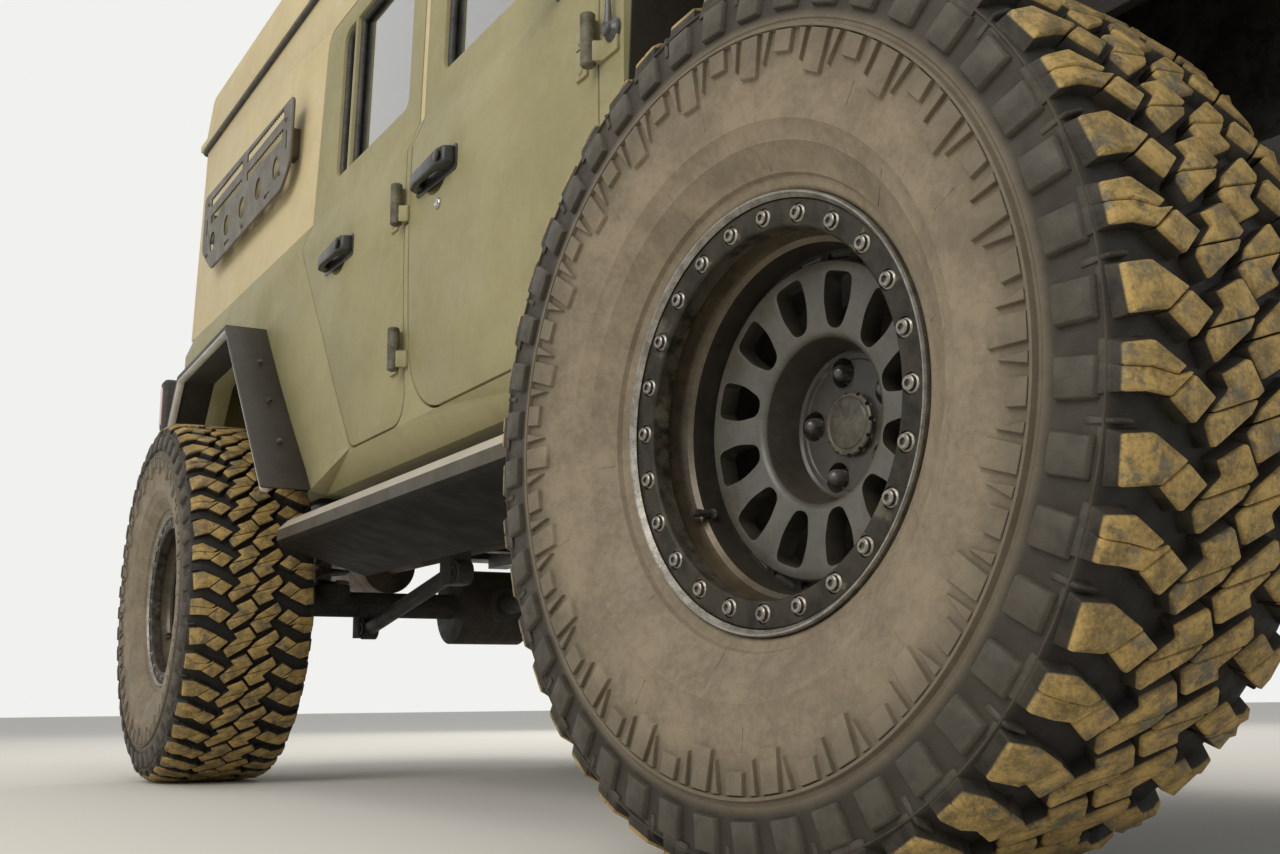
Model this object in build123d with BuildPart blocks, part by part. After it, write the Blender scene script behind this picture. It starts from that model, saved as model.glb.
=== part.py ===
from build123d import *
import os
from math import cos, sin, radians

# A lifted four-door off-road 4x4 with a hard camper top, parked with its front wheels turned a little left.
# Millimetres. +X is forward, +Y is to the vehicle's left, +Z is up. The origin is on the ground, at the
# middle of the vehicle's length and width.

# Overall stations. front_reach and rear_reach are measured from the middle of the wheelbase.
wheelbase = 2947.0
track = 1720.0
front_reach = 2120.0
rear_reach = 2720.0
mid_x = (rear_reach - front_reach) / 2
front_axle_x = mid_x + wheelbase / 2
rear_axle_x = mid_x - wheelbase / 2

# Clearances
seam_gap = 6.0
seat_gap = 0.4
running_gap = 5.0

# Tyres and wheels, in a wheel's own frame: axis Z points outboard, Z = 0 is the tyre's middle plane
tyre_radius = 505.0
tyre_width = 350.0
tread_width = 300.0
bead_radius = 218.0
bead_half = 97.0
rim_width = 228.0
rim_lip_radius = 239.0
barrel_radius = 196.0
barrel_wall = 9.0
ring_face = 125.0
ring_recess = 6.0
lip_thickness = 4.0
ring_inner_radius = 203.0
spoke_face = 45.0
spoke_thickness = 22.0
window_count = 12
window_inner_radius = 104.0
window_outer_radius = 167.0
window_width = 44.0
window_corner = 9.0
hub_cone_radius = 95.0
pad_radius = 82.0
pad_offset = -38.0
pad_thickness = 24.0
nut_count = 5
nut_circle_radius = 63.5
nut_radius = 12.0
nut_height = 10.0
cap_radius = 38.0
cap_height = 8.0
rotor_radius = 165.0
rotor_thickness = 25.0
rotor_hat_height = 14.0
axle_z = tyre_radius

# Steering: the kingpins are upright, and the arms are parallel, so the linkage is two parallelograms
rest_steer = 6.0
kingpin_inset = 120.0
kingpin_y = track / 2 - kingpin_inset
steering_arm = 155.0
tie_rod_drop = 80.0
drag_link_rise = 70.0
rod_radius = 16.0
joint_radius = 20.0
eye_half = 18.0
arm_thickness = 18.0
pin_radius = 8.0
pin_length = 4.0
sector_radius = 15.0
sector_length = 22.0
pitman_x = front_axle_x + 166.0
pitman_y = 478.0

# Axles
axle_tube_radius = 38.0
diff_radius = 110.0
diff_width = 230.0
front_diff_y = 250.0
yoke_height = 96.0
ear_radius = 30.0
ear_thickness = 24.0
kingpin_radius = 14.0
yoke_depth = 48.0
yoke_plate_half = 26.0
steering_arm_width = 22.0

# Chassis
rail_inner = 360.0
rail_width = 75.0
rail_height = 120.0
rail_bottom = 620.0
kick_up = 90.0
rail_wall_front_x = mid_x + front_reach - 135.0
front_kick_x = mid_x + 1050.0
rear_kick_x = mid_x - 950.0
kick_length = 120.0
spring_y = 500.0
spring_radius = 56.0
perch_z = 560.0
tower_z = 800.0
tower_thickness = 14.0
shock_offset = 105.0
shock_radius = 27.0

# Body section: half widths of the skin at four heights
rocker_bottom = 728.0
door_bottom = 797.0
belt_z = 1405.0
rail_z = 1475.0
door_top = 2010.0
header_depth = 190.0
gutter_z = door_top + header_depth
sill_half = 790.0
bulge = 7.0
belt_half = 796.0
rail_half = 768.0
gutter_half = 741.0
panel = 60.0
top_wall = 40.0

# Body stations along X
cowl_front_x = mid_x + 885.0
hood_rear_x = cowl_front_x + seam_gap
front_seam_x = mid_x + 800.0
pillar_x = mid_x - 83.0
pillar_width = 22.0
tail_x = mid_x - 2250.0
door_rear_x = mid_x - 880.0
floor_z = 770.0
cargo_floor_z = 880.0
floor_thickness = 25.0
cargo_front_x = mid_x - 960.0
riser_thickness = 20.0

# Windscreen, leaning back from the cowl
screen_foot_x = mid_x + 806.0
screen_top_x = mid_x + 501.0
screen_depth = 65.0
screen_half_glass = 650.0
glass_thickness = 5.0
window_sill = 1545.0
window_head = 1958.0

# Wheel arch at the rear, and its flat flare
flare_half = 915.0
wheelhouse_half = 650.0
wheelhouse_wall = 14.0
wheelhouse_top = 1260.0

# Doors
hinge_half = 820.0
hinge_radius = 13.0
hinge_length = 96.0
hinge_heights = (950.0, 1275.0)
leaf_length = 74.0
handle_z = 1290.0
handle_length = 205.0
handle_proud = 44.0
handle_height = 34.0
handle_foot = 36.0
handle_grip = 18.0
mirror_x = mid_x + 640.0
mirror_z = 1560.0
mirror_depth = 80.0
mirror_width = 165.0
mirror_height = 210.0
mirror_taper = 0.74

# Roof cap that lifts
cap_half = 756.0
cap_top_half = 722.0
cap_rise = 252.0
cap_top_z = gutter_z + cap_rise
cap_wall = 25.0
cap_front_x = mid_x + 96.0
cap_rear_x = mid_x - 2352.0

# Hood and front end
hood_front_x = mid_x + front_reach - 148.0
hood_rear_half = 700.0
hood_front_half = 600.0
hood_rear_z = 1470.0
hood_front_z = 1410.0
hood_wall = 25.0
hood_edge_radius = 30.0
fender_top = 1330.0
fender_half = 905.0
fender_thickness = 24.0
fender_lip = 46.0
fender_lip_thickness = 6.0
fender_corner = 245.0
inner_fender = 575.0
lid_barrel_radius = 9.0
lid_barrel_length = 40.0
hood_barrel_y = 430.0
cap_barrel_y = 520.0
grille_half = 600.0
grille_bottom = 930.0
grille_thickness = 35.0
bumper_half = 540.0
bumper_bottom = 680.0
bumper_top = 862.0
eye_radius = 12.5
eye_outer_radius = 30.0
eye_thickness = 25.0

# Rear end
bumper_rear_half = 780.0
rear_bumper_bottom = 745.0
rear_bumper_top = 872.0
rear_bumper_depth = 140.0
gate_half = 594.0
gate_proud = 12.0
gate_hinge_y = -640.0
gate_hinge_x = tail_x - 42.0
gate_hinge_radius = 15.0
gate_hinge_length = 50.0
gate_hinge_heights = (1010.0, 1350.0)
gate_leaf = 12.0
spare_z = 1430.0
receiver_outer = 64.0
receiver_inner = 51.0

os.makedirs("parts", exist_ok=True)


def save(part, name):
    part.label = name
    export_step(part, "parts/" + name + ".step")


def both_sides(part):
    """The right-hand solid and its mirror image on the left, as one compound of solids."""
    return Compound(children=[*part.solids(), *mirror(part, about=Plane.XZ).solids()])


def rod(start, end, radius):
    """A bar between two upright planes across the vehicle, at start X and end X."""
    with BuildPart() as bar:
        for x, y, z in (start, end):
            with BuildSketch(Plane.YZ.offset(x)):
                with Locations((y, z)):
                    Circle(radius)
        loft()
    return bar.part


def block(x, y, z):
    """A plain box between three (low, high) pairs."""
    with BuildPart() as box:
        with BuildSketch(Plane.XY.offset(z[0])):
            with Locations(((x[0] + x[1]) / 2, (y[0] + y[1]) / 2)):
                Rectangle(x[1] - x[0], y[1] - y[0])
        extrude(amount=z[1] - z[0])
    return box.part


def outline(points):
    """A closed side view, from rows of (x, z, corner radius)."""
    with BuildSketch() as side:
        with BuildLine():
            FilletPolyline(*[(x, z) for x, z, r in points], radius=[r for x, z, r in points], close=True)
        make_face()
    return side.sketch_local


def lid_barrels(x, y, z, places, gap):
    """Short barrels on a lid's level hinge axis. They fill the given places in a row of three that starts at y on
    each side. A gap round them makes the pockets that the other half of the hinge needs."""
    with BuildPart() as barrels:
        for side in (-1, 1):
            for place in places:
                centre = side * (y + (place + 0.5) * (lid_barrel_length + seam_gap))
                with BuildSketch(Plane.XZ.offset(-centre - lid_barrel_length / 2 - gap)):
                    with Locations((x, z)):
                        Circle(lid_barrel_radius + gap)
                extrude(amount=lid_barrel_length + 2 * gap)
    return barrels.part


def body_solid(inset):
    """Everything between the body's two skins, each moved inwards by inset, along the whole body."""
    low, high = rocker_bottom - panel, gutter_z
    length = front_reach + rear_reach
    with BuildPart() as solid:
        with BuildSketch(Plane.YZ.offset(-length / 2)):
            with BuildLine():
                Line((sill_half - inset, low), (sill_half - inset, door_bottom))
                ThreePointArc(
                    (sill_half - inset, door_bottom),
                    ((sill_half + belt_half) / 2 + bulge - inset, (door_bottom + belt_z) / 2),
                    (belt_half - inset, belt_z),
                )
                Polyline((belt_half - inset, belt_z), (rail_half - inset, rail_z), (gutter_half - inset, high))
                mirror(about=Plane.YZ)
                Line((inset - gutter_half, high), (gutter_half - inset, high))
                Line((inset - sill_half, low), (sill_half - inset, low))
            make_face()
        extrude(amount=length)
    return solid.part


body_bulk = body_solid(0)
panel_bulk = body_solid(panel)
top_bulk = body_solid(top_wall)


def side_wall(face, inner_bulk, side=1):
    """The part of the body's side wall inside a side view. side is 1 for the right, -1 for the left."""
    with BuildPart() as wall:
        with BuildSketch(Plane.XZ):
            add(face)
        extrude(amount=side * flare_half)
        add(body_bulk, mode=Mode.INTERSECT)
        add(inner_bulk, mode=Mode.SUBTRACT)
    return wall.part


# Tyres: the outside runs out to the lugs' tips
with BuildPart() as tyre:
    with BuildSketch(Plane.XZ):
        with BuildLine():
            half = tyre_width / 2
            right = [
                (bead_radius + seat_gap, bead_half),
                (rim_lip_radius + 2.5, bead_half),
                (rim_lip_radius + 2.5, ring_face - 7),
                (rim_lip_radius + 24, half - 42),
                (tyre_radius * 0.66, half - 4),
                (tyre_radius * 0.76, half),
                (tyre_radius - 38, half - 6),
                (tyre_radius - 6, tread_width / 2 + 4),
                (tyre_radius, tread_width / 2 - 20),
            ]
            left = [(r, -z) for r, z in reversed(right)]
            Polyline(*right, *left, close=True)
        make_face()
    revolve(axis=Axis.Z)

# Wheel: barrel with the clamping ring, the twelve-window face, the hub well, nuts, cap and brake disc
with BuildPart() as wheel:
    with BuildSketch(Plane.XZ):
        with BuildLine():
            lip = rim_width / 2 + 4
            seat = bead_radius
            Polyline(
                (rim_lip_radius, -lip),
                (rim_lip_radius, -lip + 10),
                (seat, -lip + 16),
                (seat, -62),
                (barrel_radius, -42),
                (barrel_radius, 62),
                (seat, 78),
                (seat, ring_face - 25),
                (rim_lip_radius, ring_face - 25),
                (rim_lip_radius, ring_face),
                (rim_lip_radius - lip_thickness, ring_face),
                (rim_lip_radius - lip_thickness, ring_face - ring_recess),
                (ring_inner_radius, ring_face - ring_recess),
                (ring_inner_radius, 72),
                (barrel_radius - barrel_wall, 56),
                (barrel_radius - barrel_wall, -36),
                (seat - barrel_wall, -56),
                (seat - barrel_wall, -lip),
                close=True,
            )
        make_face()
        with BuildLine():
            inner = barrel_radius - barrel_wall + 1
            pad_face = pad_offset + pad_thickness
            Polyline(
                (inner, spoke_face),
                (window_outer_radius + 4, spoke_face + 1),
                (hub_cone_radius + 6, spoke_face - 8),
                (pad_radius, pad_face),
                (cap_radius, pad_face),
                (cap_radius - 4, pad_face + cap_height),
                (0, pad_face + cap_height),
                (0, pad_offset - rotor_hat_height - rotor_thickness),
                (rotor_radius, pad_offset - rotor_hat_height - rotor_thickness),
                (rotor_radius, pad_offset - rotor_hat_height),
                (pad_radius + 6, pad_offset - rotor_hat_height),
                (pad_radius + 6, pad_offset),
                (hub_cone_radius + 8, spoke_face - spoke_thickness - 14),
                (window_outer_radius + 4, spoke_face - spoke_thickness),
                (inner, spoke_face - spoke_thickness),
                close=True,
            )
        make_face()
    revolve(axis=Axis.Z)
    with BuildSketch(Plane.XY.offset(pad_offset)):
        with PolarLocations((window_inner_radius + window_outer_radius) / 2, window_count):
            depth = window_outer_radius - window_inner_radius
            Trapezoid(window_width, depth, 80, rotation=90)
        fillet(vertices(), window_corner)
    extrude(amount=ring_face, mode=Mode.SUBTRACT)
    with BuildSketch(Plane.XY.offset(pad_face)):
        with PolarLocations(nut_circle_radius, nut_count):
            Circle(nut_radius)
    extrude(amount=nut_height)


def wheel_pose(corner_x, side, steer):
    """Where a wheel stands: side is 1 on the right and -1 on the left, steer turns it about its kingpin."""
    kingpin = Location((corner_x, -side * kingpin_y, axle_z), (0, 0, steer))
    return kingpin * Location((0, -side * kingpin_inset, 0), (side * 90, 0, 0))


for end, corner_x, steer in (("front", front_axle_x, rest_steer), ("rear", rear_axle_x, 0.0)):
    for name, side in (("right", 1), ("left", -1)):
        pose = wheel_pose(corner_x, side, steer)
        save(tyre.part.moved(pose), "tyre_" + end + "_" + name)
        save(wheel.part.moved(pose), "wheel_" + end + "_" + name)

spare_x = mid_x - rear_reach + tyre_width / 2
spare_pose = Location((spare_x, 0, spare_z), (0, -90, 0))
spare_pad_x = spare_x - pad_offset
save(tyre.part.moved(spare_pose), "spare_tyre")

# The spare is a wheel without its brake disc
with BuildPart() as spare_wheel:
    add(wheel.part)
    with BuildSketch(Plane.XY.offset(pad_offset)):
        Circle(rotor_radius + 1)
    extrude(amount=-(rotor_hat_height + rotor_thickness), mode=Mode.SUBTRACT)
save(spare_wheel.part.moved(spare_pose), "spare_wheel")

# Steering knuckles, in the frame of their kingpin: X forward, Z up, the wheel on the side of -side * Y
rotor_back = kingpin_inset + pad_offset - rotor_hat_height - rotor_thickness
link_z = {"tie_rod": axle_z - tie_rod_drop, "drag_link": axle_z + drag_link_rise}


def knuckle(side, has_drag_arm):
    with BuildPart() as part:
        for z in (-1, 1):
            with BuildSketch(Plane.XY.offset(z * (yoke_height - seat_gap - ear_thickness / 2))):
                Circle(ear_radius)
            extrude(amount=ear_thickness / 2, both=True)
            with BuildSketch(Plane.XY.offset(z * (yoke_height - seam_gap))):
                Circle(kingpin_radius)
            extrude(amount=z * (seam_gap - seat_gap))
        with BuildSketch(Plane.XY):
            with Locations((0, -side * (ear_radius / 2 + 2))):
                Rectangle(2 * ear_radius, ear_radius - 4)
        extrude(amount=yoke_height - seat_gap, both=True)
        with BuildSketch(Plane.XZ):
            Circle(44)
        extrude(amount=side * (rotor_back - running_gap))
        with BuildSketch(Plane.XZ):
            Circle(40)
        extrude(amount=-side * ear_radius, mode=Mode.SUBTRACT)
        with BuildSketch(Plane.XZ):
            Circle(30)
        extrude(amount=side * (rotor_back - seat_gap))
        arms = [(-tie_rod_drop + joint_radius, -1)]
        if has_drag_arm:
            arms.append((drag_link_rise - joint_radius, 1))
        for height, up in arms:
            with BuildSketch(Plane.XY.offset(height)):
                with Locations((steering_arm / 2, 0)):
                    Rectangle(steering_arm, steering_arm_width)
                with Locations((steering_arm, 0)):
                    Circle(joint_radius)
            extrude(amount=-up * arm_thickness)
            with BuildSketch(Plane.XY.offset(height)):
                with Locations((steering_arm, 0)):
                    Circle(pin_radius)
            extrude(amount=up * (joint_radius - eye_half - seat_gap))
    return part.part


for name, side in (("right", 1), ("left", -1)):
    pose = Location((front_axle_x, -side * kingpin_y, axle_z), (0, 0, rest_steer))
    save(knuckle(side, side == 1).moved(pose), "knuckle_" + name)

arm_dx = steering_arm * cos(radians(rest_steer))
arm_dy = steering_arm * sin(radians(rest_steer))


def link(start, end, z):
    """A steering rod at one height, with an eye at each end."""
    with BuildPart() as bar:
        path = Vector(*end, z) - Vector(*start, z)
        with BuildSketch(Plane(origin=(*start, z), z_dir=path)):
            Circle(rod_radius)
        extrude(amount=path.length)
        for x, y in (start, end):
            with BuildSketch(Plane.XY.offset(z)):
                with Locations((x, y)):
                    Circle(joint_radius)
            extrude(amount=eye_half, both=True)
    return bar.part


right_arm_end = (front_axle_x + arm_dx, -kingpin_y + arm_dy)
left_arm_end = (front_axle_x + arm_dx, kingpin_y + arm_dy)
pitman_end = (pitman_x + arm_dx, pitman_y + arm_dy)
save(link(right_arm_end, left_arm_end, link_z["tie_rod"]), "tie_rod")
save(link(right_arm_end, pitman_end, link_z["drag_link"]), "drag_link")

pitman_z = link_z["drag_link"] + eye_half + seat_gap + pin_length
with BuildPart() as pitman_arm:
    with BuildSketch(Plane.XY.offset(pitman_z)):
        with Locations((pitman_x + arm_dx / 2, pitman_y + arm_dy / 2)):
            SlotCenterToCenter(steering_arm, 2 * joint_radius, rotation=rest_steer)
    extrude(amount=arm_thickness)
    with BuildSketch(Plane.XY.offset(pitman_z)):
        with Locations(pitman_end):
            Circle(pin_radius)
    extrude(amount=-pin_length)
    with BuildSketch(Plane.XY.offset(pitman_z + arm_thickness)):
        with Locations((pitman_x, pitman_y)):
            Circle(sector_radius)
    extrude(amount=sector_length)
save(pitman_arm.part, "pitman_arm")
steering_box_bottom = pitman_z + arm_thickness + sector_length + seat_gap

# Front axle: tube, differential, yokes round the knuckles, spring perches and arm brackets
arm_bracket_y = 395.0
arm_bracket_drop = 75.0

with BuildPart() as front_axle:
    tube_half = kingpin_y - yoke_depth
    with BuildSketch(Plane.XZ.offset(-tube_half)):
        with Locations((front_axle_x, axle_z)):
            Circle(axle_tube_radius)
    extrude(amount=2 * tube_half)
    with BuildSketch(Plane.XZ.offset(-front_diff_y - diff_width / 2)):
        with Locations((front_axle_x, axle_z)):
            Circle(diff_radius)
    extrude(amount=diff_width, taper=8)
    with BuildSketch(Plane.YZ.offset(front_axle_x - diff_radius - 60)):
        with Locations((front_diff_y, axle_z)):
            Circle(52)
    extrude(amount=diff_radius)
    for side in (-1, 1):
        y = side * kingpin_y
        back = side * (kingpin_y - yoke_depth)
        add(block((front_axle_x - yoke_plate_half, front_axle_x + yoke_plate_half), sorted((back, back + side * 14)),
                  (axle_z - yoke_height - ear_thickness, axle_z + yoke_height + ear_thickness)))
        for up in (-1, 1):
            low = axle_z + up * yoke_height
            with BuildSketch(Plane.XY.offset(low)):
                with Locations((front_axle_x, y)):
                    Circle(ear_radius + 4)
                with Locations((front_axle_x, y - side * yoke_depth / 2)):
                    Rectangle(2 * ear_radius, yoke_depth)
            extrude(amount=up * ear_thickness)
        with BuildSketch(Plane.XY.offset(axle_z)):
            with Locations((front_axle_x, side * spring_y)):
                Circle(spring_radius)
        extrude(amount=perch_z - axle_z)
        add(block((front_axle_x - 40, front_axle_x + 20),
                  sorted((side * (arm_bracket_y - 28), side * (arm_bracket_y + 28))),
                  (axle_z - arm_bracket_drop - 25, axle_z)))
        add(block((front_axle_x - shock_offset - 20, front_axle_x),
                  sorted((side * (spring_y - 30), side * (spring_y + 20))), (axle_z - 30, axle_z + 20)))
save(front_axle.part, "front_axle")

with BuildPart() as rear_axle:
    hub_end = track / 2 - kingpin_inset + rotor_back
    with BuildSketch(Plane.XZ.offset(-(hub_end - seat_gap))):
        with Locations((rear_axle_x, axle_z)):
            Circle(axle_tube_radius)
    extrude(amount=2 * (hub_end - seat_gap))
    with BuildSketch(Plane.XZ.offset(-diff_width / 2)):
        with Locations((rear_axle_x, axle_z)):
            Circle(diff_radius + 5)
    extrude(amount=diff_width)
    with BuildSketch(Plane.YZ.offset(rear_axle_x)):
        with Locations((0, axle_z)):
            Circle(52)
    extrude(amount=diff_radius + 60)
    for side in (-1, 1):
        with BuildSketch(Plane.XY.offset(axle_z)):
            with Locations((rear_axle_x, side * spring_y)):
                Circle(spring_radius)
        extrude(amount=perch_z - axle_z)
        add(block((rear_axle_x - 20, rear_axle_x + 40),
                  sorted((side * (arm_bracket_y - 28), side * (arm_bracket_y + 28))),
                  (axle_z - arm_bracket_drop - 25, axle_z)))
        add(block((rear_axle_x - shock_offset - 20, rear_axle_x),
                  sorted((side * (spring_y - 30), side * (spring_y + 20))), (axle_z - 30, axle_z + 20)))
        back = side * (hub_end - 40)
        with BuildSketch(Plane.XZ.offset(-back)):
            with Locations((rear_axle_x, axle_z)):
                Circle(70)
        extrude(amount=side * 14)
save(rear_axle.part, "rear_axle")

# Ladder frame: two kicked-up rails, crossmembers, body mounts, spring towers and arm brackets
rail_outer = rail_inner + rail_width
high_bottom = rail_bottom + kick_up
high_top = high_bottom + rail_height
low_top = rail_bottom + rail_height
frame_rear_x = tail_x - seam_gap
arm_front_bracket_x = mid_x + 800.0
arm_rear_bracket_x = mid_x - 760.0
skid_z = 500.0
skid_x = (mid_x + 180.0, mid_x + 760.0)
with BuildPart() as frame_rails:
    with BuildSketch(Plane.XZ.offset(-rail_outer)):
        with BuildLine():
            Polyline(
                (rail_wall_front_x, high_bottom),
                (front_kick_x + kick_length, high_bottom),
                (front_kick_x, rail_bottom),
                (rear_kick_x, rail_bottom),
                (rear_kick_x - kick_length, high_bottom),
                (frame_rear_x, high_bottom),
                (frame_rear_x, high_top),
                (rear_kick_x - kick_length, high_top),
                (rear_kick_x, low_top),
                (front_kick_x, low_top),
                (front_kick_x + kick_length, high_top),
                (rail_wall_front_x, high_top),
                close=True,
            )
        make_face()
    extrude(amount=rail_width)
    for x, low in ((rail_wall_front_x - 70, high_bottom), (mid_x - 560, low_top - 62),
                   (mid_x - 1180, high_bottom + 20), (mid_x - 1960, high_bottom + 30)):
        add(block((x - 35, x + 35), (0, rail_inner + 5), (low, low + 62)))
    for x, top, floor in ((mid_x + 760, low_top, floor_z), (mid_x + 60, low_top, floor_z),
                          (mid_x - 700, low_top, floor_z), (mid_x - 1120, high_top, cargo_floor_z),
                          (mid_x - 2140, high_top, cargo_floor_z)):
        with BuildSketch(Plane.XY.offset(top)):
            with Locations((x, rail_inner + rail_width / 2)):
                Circle(32)
        extrude(amount=floor - top)
    for x in (front_axle_x, rear_axle_x):
        add(block((x - shock_offset - 35, x + 65), (rail_outer - 5, spring_y + spring_radius + 6),
                  (tower_z, tower_z + tower_thickness)))
    for x in (arm_front_bracket_x, arm_rear_bracket_x):
        add(block((x - 35, x + 35), (arm_bracket_y - 30, arm_bracket_y + 30), (rail_bottom - 110, rail_bottom + 5)))
    add(block((rail_wall_front_x - 32, rail_wall_front_x), (rail_inner + 10, rail_outer - 10),
              (high_top - 5, grille_bottom)))
    add(block(skid_x, (0, rail_inner + 5), (skid_z, skid_z + 12)))
    add(block(skid_x, (rail_inner, rail_inner + 12), (skid_z, rail_bottom + 5)))
    mirror(about=Plane.XZ)
    add(block((pitman_x - 45, pitman_x + 60), (rail_outer - 5, pitman_y + 32),
              (steering_box_bottom, high_top - 20)))
save(frame_rails.part, "frame_rails")

# Coil springs and shock absorbers, front and rear
with BuildPart() as springs:
    for x in (front_axle_x, rear_axle_x):
        coils = 7
        pitch = (tower_z - perch_z) / coils
        wire = 9.0
        with BuildSketch(Plane.XZ.offset(-spring_y)):
            with BuildLine():
                points = [(x, perch_z)]
                for turn in range(coils):
                    z = perch_z + pitch * turn
                    points += [(x + spring_radius - wire, z), (x + spring_radius, z + pitch / 4),
                               (x + spring_radius, z + pitch / 2), (x + spring_radius - wire, z + 3 * pitch / 4)]
                points += [(x + spring_radius - wire, tower_z), (x, tower_z)]
                Polyline(*points, close=True)
            make_face()
        revolve(axis=Axis((x, spring_y, 0), (0, 0, 1)))
        with BuildSketch(Plane.XY.offset(axle_z + 20)):
            with Locations((x - shock_offset, spring_y - 5)):
                Circle(shock_radius)
        extrude(amount=170)
        with BuildSketch(Plane.XY.offset(axle_z + 190)):
            with Locations((x - shock_offset, spring_y - 5)):
                Circle(12)
        extrude(amount=tower_z - axle_z - 190)
    mirror(about=Plane.XZ)
save(springs.part, "springs_and_shocks")

# Lower control arms and the two track bars
arm_z = axle_z - arm_bracket_drop
with BuildPart() as arms:
    add(rod((arm_front_bracket_x + 35, arm_bracket_y, rail_bottom - 80),
            (front_axle_x - 40, arm_bracket_y, arm_z), 22))
    add(rod((arm_rear_bracket_x - 35, arm_bracket_y, rail_bottom - 80),
            (rear_axle_x + 40, arm_bracket_y, arm_z), 22))
    mirror(about=Plane.XZ)
save(arms.part, "control_arms")

# Engine, gearbox and transfer case as plain blocks, with the engine's feet on the rails
engine_x = (mid_x + 1080.0, mid_x + 1720.0)
gearbox_x = (mid_x + 260.0, mid_x + 1080.0)
with BuildPart() as powertrain:
    add(block(engine_x, (-250, 250), (705, 1240)))
    add(block(gearbox_x, (-150, 150), (560, 760)))
    add(block((engine_x[0] + 200, engine_x[0] + 280), (-rail_inner, rail_inner), (730, 800)))
    add(block((gearbox_x[0], gearbox_x[0] + 220), (100, 300), (skid_z + 12, 700)))
save(powertrain.part, "powertrain")

# Propeller shafts
with BuildPart() as shafts:
    add(rod((gearbox_x[0], 0, 620), (rear_axle_x + diff_radius + 60, 0, axle_z), 34))
    add(rod((front_axle_x - diff_radius - 60, front_diff_y, axle_z), (gearbox_x[0] + 220, front_diff_y, 590), 30))
save(shafts.part, "propeller_shafts")

# Exhaust: down pipe, long pipe, silencer under its crossmember, tail pipe
with BuildPart() as exhaust:
    add(rod((engine_x[0], -215, 745), (mid_x + 640, -235, 640), 28))
    add(rod((mid_x + 640, -235, 640), (mid_x - 1700, -235, 650), 28))
    add(rod((mid_x - 1700, -235, 650), (mid_x - 2120, -235, 650), high_bottom + 30 - 650 - seat_gap))
    add(rod((mid_x - 2120, -235, 650), (tail_x - 10, -235, 650), 26))
save(exhaust.part, "exhaust")

# Fuel tank between the rails
with BuildPart() as tank:
    add(block((mid_x - 520, mid_x + 60), (80, rail_inner), (560, 735)))
    fillet(tank.edges().filter_by(Axis.X).group_by(Axis.Z)[0], 30)
save(tank.part, "fuel_tank")

# Rock sliders: box rail with a sloping face, a skid plate turned under, three legs to the frame
slider_x = (mid_x - 815.0, mid_x + 705.0)
slider_half = 855.0
slider_top = 664.0
slider_bottom = 606.0
with BuildPart() as slider:
    with BuildSketch(Plane.YZ.offset(slider_x[0])):
        with BuildLine():
            Polyline(
                (-slider_half, slider_bottom + 4),
                (-slider_half, slider_top - 26),
                (-slider_half + 26, slider_top),
                (-slider_half + 96, slider_top),
                (-slider_half + 96, slider_bottom),
                (-620, 540),
                (-620, 530),
                (-slider_half + 8, slider_bottom - 6),
                close=True,
            )
        make_face()
    extrude(amount=slider_x[1] - slider_x[0])
    for x in (slider_x[0] + 120, (slider_x[0] + slider_x[1]) / 2, slider_x[1] - 120):
        add(block((x - 25, x + 25), (-slider_half + 90, -rail_outer), (628, 654)))
save(both_sides(slider.part), "rock_sliders")

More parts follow.
